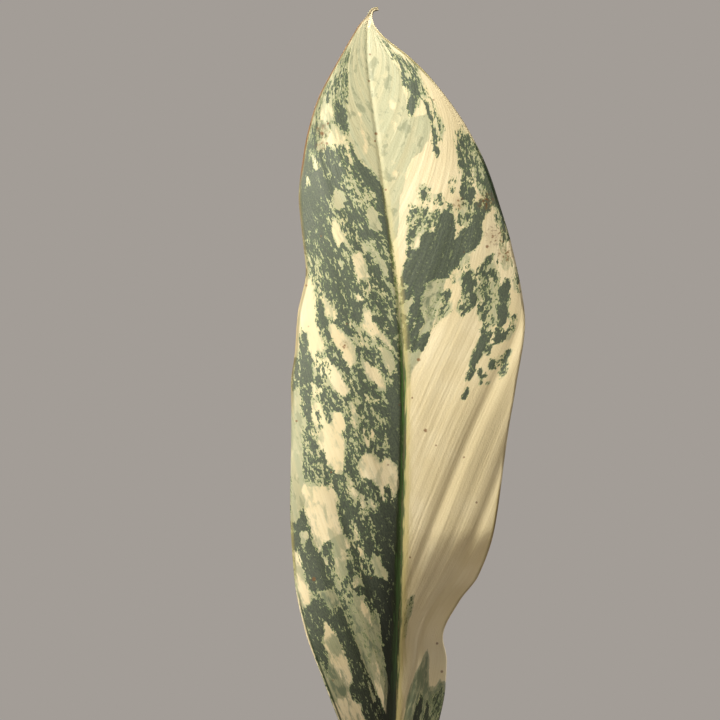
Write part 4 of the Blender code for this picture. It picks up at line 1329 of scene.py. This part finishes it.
def soil_surface(nearest, furthest):
    """A ring of the mix's top that grains are strewn over."""
    rings = []
    for i in range(13):
        ring = circle(nearest + (furthest - nearest) * i / 12, 0.0, 72)
        rings.append([Vector((p.x, p.y, soil_height(p.x, p.y))) for p in ring])
    surface = lofted("mix_top", rings)
    if surface.data.polygons[0].normal.z < 0:
        surface.data.flip_normals()
    return surface


def grain_shapes(name, count, size, rough, cuts, seed):
    """A few uneven grains, flat ones where size is, for strewing. They are in a collection."""
    shapes = bpy.data.collections.new(name)
    draw = random.Random(seed)
    for i in range(count):
        shape = bmesh.new()
        bmesh.ops.create_cube(shape, size=1.0)
        bmesh.ops.subdivide_edges(shape, edges=shape.edges, cuts=cuts, use_grid_fill=True)
        offset = Vector((draw.uniform(0, 50), draw.uniform(0, 50), i))
        stretch = Vector([s * draw.uniform(0.8, 1.15) for s in size])
        for vert in shape.verts:
            rounded = vert.co.normalized() * 0.62
            place = vert.co.lerp(rounded, 0.45)
            place += Vector([rough * noise.noise(place * 2.6 + offset * (k + 1)) for k in range(3)])
            vert.co = Vector([p * s / 1000 for p, s in zip(place, stretch)])
        mesh = mesh_of(shape, f"{name}_{i}")
        mesh.shade_smooth()
        mesh.set_sharp_from_angle(angle=GRAIN_SHARP_ANGLE)
        shapes.objects.link(bpy.data.objects.new(f"{name}_{i}", mesh))
    return shapes


def fibre_shapes(name, count, seed):
    """A few thin curled fibres for strewing, in a collection."""
    shapes = bpy.data.collections.new(name)
    draw = random.Random(seed)
    for i in range(count):
        length = draw.uniform(9, 16)
        bend = draw.uniform(1.5, 4.0)
        route = []
        for k in range(7):
            f = k / 6
            radius = 0.24 * (1 - 0.6 * abs(2 * f - 1)) + 0.05
            route.append((length * (f - 0.5), bend * math.sin(math.pi * f), 0.5 * math.sin(5 * f), radius))
        fibre = swept(f"{name}_{i}", route, lambda turn, share: 1.0, 14, 6)
        bpy.context.scene.collection.objects.unlink(fibre)
        shapes.objects.link(fibre)
    return shapes


def strew_tree():
    """Geometry nodes that strew a collection's shapes over a surface, turned at random."""
    tree = bpy.data.node_groups.new("strew_over_surface", "GeometryNodeTree")
    sockets = (
        ("Surface", "Geometry"), ("Shapes", "Collection"), ("Closest", "Float"),
        ("Density", "Float"), ("Smallest", "Float"), ("Largest", "Float"), ("Tilt", "Float"),
        ("Sink", "Float"), ("Seed", "Int"), ("Finish", "Material"),
    )
    for name, kind in sockets:
        tree.interface.new_socket(name, in_out="INPUT", socket_type="NodeSocket" + kind)
    tree.interface.new_socket("Strewn", in_out="OUTPUT", socket_type="NodeSocketGeometry")
    given = add_node(tree, "NodeGroupInput", give=None)
    points = add_node(
        tree, "GeometryNodeDistributePointsOnFaces",
        {"Mesh": given["Surface"], "Distance Min": given["Closest"], "Density Max": given["Density"],
         "Seed": given["Seed"]},
        distribute_method="POISSON",
    )
    lowered = add_node(tree, JOIN, {2: given["Sink"]})
    placed = add_node(tree, "GeometryNodeSetPosition", {"Geometry": points, "Offset": lowered})
    shapes = add_node(
        tree, "GeometryNodeCollectionInfo",
        {"Collection": given["Shapes"], "Separate Children": True, "Reset Children": True},
    )
    back = product(tree, given["Tilt"], -1.0)
    low = add_node(tree, JOIN, {0: back, 1: back})
    high = add_node(tree, JOIN, {0: given["Tilt"], 1: given["Tilt"], 2: TURN})
    rotation = add_node(
        tree, "FunctionNodeRandomValue", {0: low, 1: high, "Seed": given["Seed"]},
        data_type="FLOAT_VECTOR",
    )
    scale = add_node(
        tree, "FunctionNodeRandomValue",
        {2: given["Smallest"], 3: given["Largest"], "Seed": given["Seed"]}, 1, data_type="FLOAT",
    )
    instances = add_node(
        tree, "GeometryNodeInstanceOnPoints",
        {"Points": placed, "Instance": shapes, "Pick Instance": True, "Rotation": rotation,
         "Scale": scale},
    )
    real = add_node(tree, "GeometryNodeRealizeInstances", {0: instances})
    finish = {"Geometry": real, "Material": given["Finish"]}
    coloured = add_node(tree, "GeometryNodeSetMaterial", finish)
    add_node(tree, "NodeGroupOutput", {"Strewn": coloured}, None)
    return tree


def strewn(name, tree, surface, shapes, material, values):
    """Shapes strewn over a surface, as a plain mesh."""
    step = surface.modifiers.new("strew", "NODES")
    step.node_group = tree
    given = {"Shapes": shapes, "Finish": material, **values}
    for socket in tree.interface.items_tree:
        if socket.in_out == "INPUT" and socket.name in given:
            step[socket.identifier] = given[socket.name]
    made = as_plain_mesh(surface, name)
    for shape in list(shapes.objects):
        bpy.data.objects.remove(shape)
    bpy.data.collections.remove(shapes)
    return made


def bark_finish(name, light, dark, size):
    """Composted bark: matt and fibrous, each bit of another brown, nearly black where it is damp."""
    material, tree, place = new_material(name, 1.45)
    bits = add_node(tree, CELLS, {"Vector": place, "Scale": 1 / size}, "Color")
    bit = add_node(tree, "ShaderNodeSeparateColor", {0: bits})
    colour = layered(tree, dark, light, bit)
    fibres = add_node(tree, MAPPING, {"Vector": place, "Scale": (2.2, 0.5, 1.2)})
    grain = field_of(tree, fibres, 0.9, 6.0)
    colour = layered(tree, colour, dark, grain, 0.55)
    return finished(material, colour, grain, (0.78, 0.98), grain, 0.9, 0.5)


def perlite_finish(settings):
    """Perlite: a foamed volcanic glass, chalk white and dusty, with a pitted surface."""
    material, tree, place = new_material("perlite", 1.5)
    pits = field_of(tree, place, 0.45, 5.0)
    colour = layered(tree, settings.perlite, settings.bark, pits, 0.4)
    return finished(material, colour, pits, (0.8, 0.97), pits, 0.8, 0.35)


def floor_finish(settings):
    """Matt painted board: pale, with barely visible cloudiness and a fine tooth."""
    material, tree, place = new_material("painted_board", 1.45)
    colour = layered(tree, settings.floor, settings.floor_shade, field_of(tree, place, 260.0), 0.25)
    tooth = field_of(tree, place, 1.2)
    return finished(material, colour, tooth, (0.8, 0.9), tooth, 0.08, 0.1)


def colour_property(name, description, code):
    return FloatVectorProperty(
        name=name, description=description, subtype="COLOR", size=3, min=0.0, max=1.0,
        default=paint(code),
    )


def length_property(name, description, length, least, most):
    """A length setting, in metres."""
    return FloatProperty(
        name=name, description=description, subtype="DISTANCE", unit="LENGTH", default=length,
        min=least, max=most,
    )


def power_property(name, description, power):
    """A light's power setting, in watts."""
    return FloatProperty(
        name=name, description=description, unit="POWER", default=power, min=0.0, max=100.0
    )


class LeafSettings(bpy.types.PropertyGroup):
    """Sizes and colours of the leaf."""

    thickness: length_property(
        "Blade thickness", "Thickness of the blade between its ribs", 0.00055, 0.0003, 0.002
    )
    cream: colour_property("Cream", "Tissue with no green in it", "#f4e9c6")
    cream_shade: colour_property("Cream shade", "Darker streaks in the cream", "#e0d0a2")
    mint: colour_property("Mint", "Tissue with green only in its depth", "#b9be9e")
    mint_shade: colour_property("Mint shade", "The same tissue low on the leaf", "#969e80")
    green_middle: colour_property("Middle green", "Tissue with green in half its depth", "#7c876d")
    green: colour_property("Green", "Fully green tissue", "#555e55")
    # Painted shade: green darkened low on the leaf and beside the midrib's foot
    green_shaded: colour_property("Deep green", "The same tissue by the midrib's foot", "#252b24")
    green_fresh: colour_property("Fresh green", "Thin green tissue at the blots' rims", "#627a55")
    green_light: colour_property("Light green", "Mottling and the fringe of green blots", "#8c9d70")
    green_pale: colour_property("Pale green", "Yellowish halo round the green blots", "#c6ca98")
    rib_green: colour_property("Rib green", "The dark lines of the midrib", "#1e341a")
    rib_fresh: colour_property("Rib fresh green", "The bright lines of the midrib", "#55803f")
    rib_pale: colour_property("Rib pale", "The midrib on the underside", "#a9b287")
    yellow_green: colour_property("Yellow green", "Beside the midrib and on the right margin", "#b7ab6a")
    brown: colour_property("Brown", "Dry margins and small marks", "#7d5328")
    underside: colour_property("Underside", "Haze over the leaf's underside", "#a6ad8b")


class StalkSettings(bpy.types.PropertyGroup):
    """Colours of the stem, the leaf stalk and the sheath."""

    petiole: colour_property("Stalk", "The leaf stalk", "#8a9c5c")
    petiole_shade: colour_property("Stalk shade", "Darker lines on the stalk", "#5c7340")
    petiole_fleck: colour_property("Stalk fleck", "Cream streaks on the stalk", "#d9d3a4")
    sheath: colour_property("Sheath", "The next leaf's sheath", "#c4c48a")
    sheath_shade: colour_property("Sheath shade", "Darker lines on the sheath", "#93a05e")
    sheath_fleck: colour_property("Sheath fleck", "Pale streaks on the sheath", "#e6dfba")
    stem: colour_property("Stem", "Young stem skin", "#7b8a52")
    stem_brown: colour_property("Scar brown", "Leaf scars and corky skin", "#6b5637")
    root: colour_property("Root", "Air roots", "#a58d66")


class PotSettings(bpy.types.PropertyGroup):
    """Size and colours of the pot."""

    segments: IntProperty(
        name="Pot segments", description="Sides of the turned pot", default=192, min=48, max=360
    )
    clay: colour_property("Clay", "Fired clay", "#c07a55")
    clay_dark: colour_property("Clay dark", "Damper or harder fired clay", "#a2603f")
    clay_pale: colour_property("Clay pale", "Grog specks and worn edges", "#d9a480")
    lime: colour_property("Lime bloom", "Lime left by the water", "#dcc8b4")


class MixSettings(bpy.types.PropertyGroup):
    """Sizes and colours of the potting mix."""

    chip_gap: length_property(
        "Chip gap", "Least distance between the middles of two bark chips", 0.0068, 0.003, 0.03
    )
    grain_gap: length_property(
        "Grain gap", "Least distance between two crumbs", 0.0026, 0.002, 0.03
    )
    bark: colour_property("Bark", "Dry bark", "#7b583a")
    bark_dark: colour_property("Damp bark", "Damp bark and fines", "#35241a")
    fibre: colour_property("Fibre", "Coir fibres", "#9b7548")
    perlite: colour_property("Perlite", "White mineral grains", "#e4e0d6")


class StageSettings(bpy.types.PropertyGroup):
    """Size, colours and light of the stage."""

    floor_radius: length_property("Floor radius", "Radius of the round floor", 2.7, 0.5, 10.0)
    key_power: power_property("Key light", "Soft light at the upper left", 0.5)
    left_power: power_property("Left light", "Light that grazes the blade's left half", 0.4)
    pot_power: power_property("Pot light", "Narrow light on the pot", 0.3)
    side_power: power_property("Side light", "Light at the right, behind the blade", 6.0)
    back_power: power_property("Back light", "Light behind the plant", 9.0)
    top_power: power_property("Top light", "Large light above the floor", 20.0)
    bounce: colour_property("Bounce", "Light that the surroundings throw back", "#595145")
    floor: colour_property("Floor", "The floor's paint", "#cfcac3")
    floor_shade: colour_property("Floor shade", "Faint clouds in the paint", "#c6c0b8")
    backdrop: colour_property("Backdrop", "The plain surroundings", "#a39d97")


class PLANT_OT_leaf(bpy.types.Operator):
    """Builds the variegated leaf blade."""

    bl_idname = "plant.leaf"
    bl_label = "Build leaf"

    def execute(self, context):
        settings = context.scene.plant_leaf
        leaf, marks, stains = leaf_mesh(settings.thickness * 1000)
        upper = leaf_upper(settings, marks, stains)
        materials = [upper, leaf_underside(settings), leaf_rim(settings)]
        indices = np.zeros(len(leaf.data.polygons), np.int32)
        leaf.data.polygons.foreach_get("material_index", indices)
        finish_piece(leaf, materials, "leaf_blade")
        leaf.data.polygons.foreach_set("material_index", indices)
        return {"FINISHED"}


class PLANT_OT_stalks(bpy.types.Operator):
    """Builds the leaf stalk and the sheath of the next leaf."""

    bl_idname = "plant.stalks"
    bl_label = "Build stalk and sheath"

    def execute(self, context):
        settings = context.scene.plant_stalk
        petiole = swept("leaf_stalk", PETIOLE_ROUTE, petiole_section, 220, 72)
        finish = stalk_finish(
            "stalk_skin", settings.petiole, settings.petiole_shade, settings.petiole_fleck, 0.42
        )
        finish_piece(petiole, [finish], "petiole")
        bud = swept("next_leaf_sheath", BUD_ROUTE, bud_section, 140, 72)
        finish = stalk_finish(
            "sheath_skin", settings.sheath, settings.sheath_shade, settings.sheath_fleck, 0.48
        )
        finish_piece(bud, [finish], "bud_sheath")
        return {"FINISHED"}


class PLANT_OT_stem(bpy.types.Operator):
    """Builds the short stem with its air roots."""

    bl_idname = "plant.stem"
    bl_label = "Build stem"

    def execute(self, context):
        settings = context.scene.plant_stalk
        finish_piece(stem_mesh(), [stem_finish(settings)], "stem")
        return {"FINISHED"}


class PLANT_OT_pot(bpy.types.Operator):
    """Builds the clay pot."""

    bl_idname = "plant.pot"
    bl_label = "Build pot"

    def execute(self, context):
        settings = context.scene.plant_pot
        finish_piece(pot_mesh(settings.segments), [clay_finish(settings)], "pot")
        return {"FINISHED"}


class PLANT_OT_mix(bpy.types.Operator):
    """Builds the potting mix and strews bark, crumbs, fibres and perlite over it."""

    bl_idname = "plant.mix"
    bl_label = "Build potting mix"

    def execute(self, context):
        settings = context.scene.plant_mix
        fines = bark_finish("damp_fines", settings.bark, settings.bark_dark, 1.6)
        finish_piece(soil_mesh(), [fines], "potting_mix")
        tree = strew_tree()
        chips = bark_finish("bark_chip", settings.bark, settings.bark_dark, 7.0)
        fibre = bark_finish("coir_fibre", settings.fibre, settings.bark, 12.0)
        edge = pot_inner_radius(SOIL_LEVEL)
        groups = (
            ("bark_chips", grain_shapes("chip", 5, (9.5, 5.6, 2.9), 0.22, 3, 3), chips,
             (12.0, edge - 6.0),
             {"Closest": settings.chip_gap, "Density": 60000.0, "Smallest": 0.5, "Largest": 1.15,
              "Tilt": 0.45, "Sink": 0.0004, "Seed": 4}),
            ("bark_crumbs", grain_shapes("crumb", 5, (2.6, 1.9, 1.4), 0.3, 1, 9), fines,
             (8.0, edge - 2.0),
             {"Closest": settings.grain_gap, "Density": 400000.0, "Smallest": 0.5, "Largest": 1.3,
              "Tilt": 3.0, "Sink": 0.0003, "Seed": 12}),
            ("perlite_grains", grain_shapes("perlite", 4, (2.8, 2.4, 2.1), 0.34, 2, 21),
             perlite_finish(settings), (11.0, edge - 3.0),
             {"Closest": 0.003, "Density": 9000.0, "Smallest": 0.15, "Largest": 1.05,
              "Tilt": 3.0, "Sink": 0.0006, "Seed": 8}),
            ("coir_fibres", fibre_shapes("fibre", 4, 5), fibre, (14.0, edge - 10.0),
             {"Closest": 0.014, "Density": 20000.0, "Smallest": 0.6, "Largest": 1.0,
              "Tilt": 0.2, "Sink": 0.0015, "Seed": 2}),
        )
        for name, shapes, finish, (nearest, furthest), values in groups:
            surface = soil_surface(nearest, furthest)
            grains = strewn(name, tree, surface, shapes, finish, values)
            if not grains.data.polygons:
                raise RuntimeError(f"{name}: nothing was strewn")
            finish_piece(grains, [finish])
        return {"FINISHED"}


# The floor lies this far under the pot's foot, so that the two faces don't share a plane
FLOOR_DROP = 0.05

# The lights: (name, place and target in mm, side in m, setting of its power, colour, beam's angle)
LIGHTS = (
    ("key_light", (-300, -290, 760), (-10, 0, 470), 0.3, "key_power", "#fff8ea", 48),
    ("left_light", (-900, -100, 500), (0, 0, 430), 0.5, "left_power", "#fff8ea", 40),
    ("pot_light", (-500, -800, 330), (0, 0, 10), 0.4, "pot_power", "#fff4e6", 24),
    ("side_light", (900, 1000, 420), (0, 0, 200), 0.8, "side_power", "#fff8ea", 180),
    ("back_light", (-200, 1300, 700), (0, 0, 230), 1.0, "back_power", "#fff6ea", 180),
    ("top_light", (0, 100, 5000), (0, 0, 0), 3.0, "top_power", "#fffaf4", 90),
)


def aimed(made, place, target):
    """Puts a light or camera at a place, looking at a target, both in mm."""
    made.location = Vector(place) / 1000
    made.rotation_euler = (Vector(target) - Vector(place)).to_track_quat("-Z", "Y").to_euler()


class PLANT_OT_stage(bpy.types.Operator):
    """Sets a plain pale floor, soft light and the camera of the front view."""

    bl_idname = "plant.stage"
    bl_label = "Set stage"

    def execute(self, context):
        settings = context.scene.plant_stage
        disc = bmesh.new()
        bmesh.ops.create_circle(disc, cap_ends=True, segments=128, radius=settings.floor_radius)
        for vert in disc.verts:
            vert.co.z = -FLOOR_DROP / 1000
        floor = add_object("floor", mesh_of(disc, "floor"))
        floor.data.materials.append(floor_finish(settings))

        world = bpy.data.worlds.new("surroundings")
        context.scene.world = world
        world.use_nodes = True
        # The backdrop shows as painted, while less light than that comes from it
        tree = world.node_tree
        background = tree.nodes["Background"]
        seen = add_node(tree, "ShaderNodeLightPath", give="Is Camera Ray")
        shown = layered(tree, settings.bounce, settings.backdrop, seen)
        tree.links.new(shown, background.inputs["Color"])
        background.inputs["Strength"].default_value = 1.0

        for name, place, target, side, power, code, spread in LIGHTS:
            data = bpy.data.lights.new(name, "AREA")
            data.spread = math.radians(spread)
            data.shape = "RECTANGLE"
            data.size = side
            data.size_y = side
            data.energy = getattr(settings, power)
            data.color = paint(code)
            aimed(add_object(name, data), place, target)

        data = bpy.data.cameras.new("front_camera")
        data.sensor_width = SENSOR_WIDTH
        data.lens = SENSOR_WIDTH * VIEW_DISTANCE / (VIEW_STEP * VIEW_STEPS)
        camera = add_object("front_camera", data)
        aimed(camera, (VIEW_ACROSS, LEAF_BASE.y - VIEW_DISTANCE, VIEW_HEIGHT),
              (VIEW_ACROSS, LEAF_BASE.y, VIEW_HEIGHT))
        context.scene.camera = camera
        context.scene.view_settings.view_transform = "Standard"
        return {"FINISHED"}


BUILDERS = (
    PLANT_OT_leaf, PLANT_OT_stalks, PLANT_OT_stem, PLANT_OT_pot, PLANT_OT_mix, PLANT_OT_stage,
)
SETTINGS = {
    "plant_leaf": LeafSettings,
    "plant_stalk": StalkSettings,
    "plant_pot": PotSettings,
    "plant_mix": MixSettings,
    "plant_stage": StageSettings,
}


class PLANT_PT_panel(bpy.types.Panel):
    """Lists the plant's sizes and colours and the steps that build it."""

    bl_idname = "PLANT_PT_panel"
    bl_label = "Potted philodendron"
    bl_space_type = "VIEW_3D"
    bl_region_type = "UI"
    bl_category = "Plant"

    def draw(self, context):
        for builder in BUILDERS:
            self.layout.operator(builder.bl_idname)
        for name, group in SETTINGS.items():
            box = self.layout.box()
            box.label(text=group.__doc__)
            for prop in group.__annotations__:
                box.prop(getattr(context.scene, name), prop)


def register():
    for group in SETTINGS.values():
        bpy.utils.register_class(group)
    for name, group in SETTINGS.items():
        setattr(bpy.types.Scene, name, PointerProperty(type=group))
    for builder in BUILDERS:
        bpy.utils.register_class(builder)
    bpy.utils.register_class(PLANT_PT_panel)


def unregister():
    bpy.utils.unregister_class(PLANT_PT_panel)
    for builder in reversed(BUILDERS):
        bpy.utils.unregister_class(builder)
    for name, group in SETTINGS.items():
        delattr(bpy.types.Scene, name)
        bpy.utils.unregister_class(group)


def main():
    register()
    bpy.ops.plant.leaf()
    bpy.ops.plant.stalks()
    bpy.ops.plant.stem()
    bpy.ops.plant.pot()
    bpy.ops.plant.mix()
    bpy.ops.plant.stage()


if __name__ == "__main__":
    main()
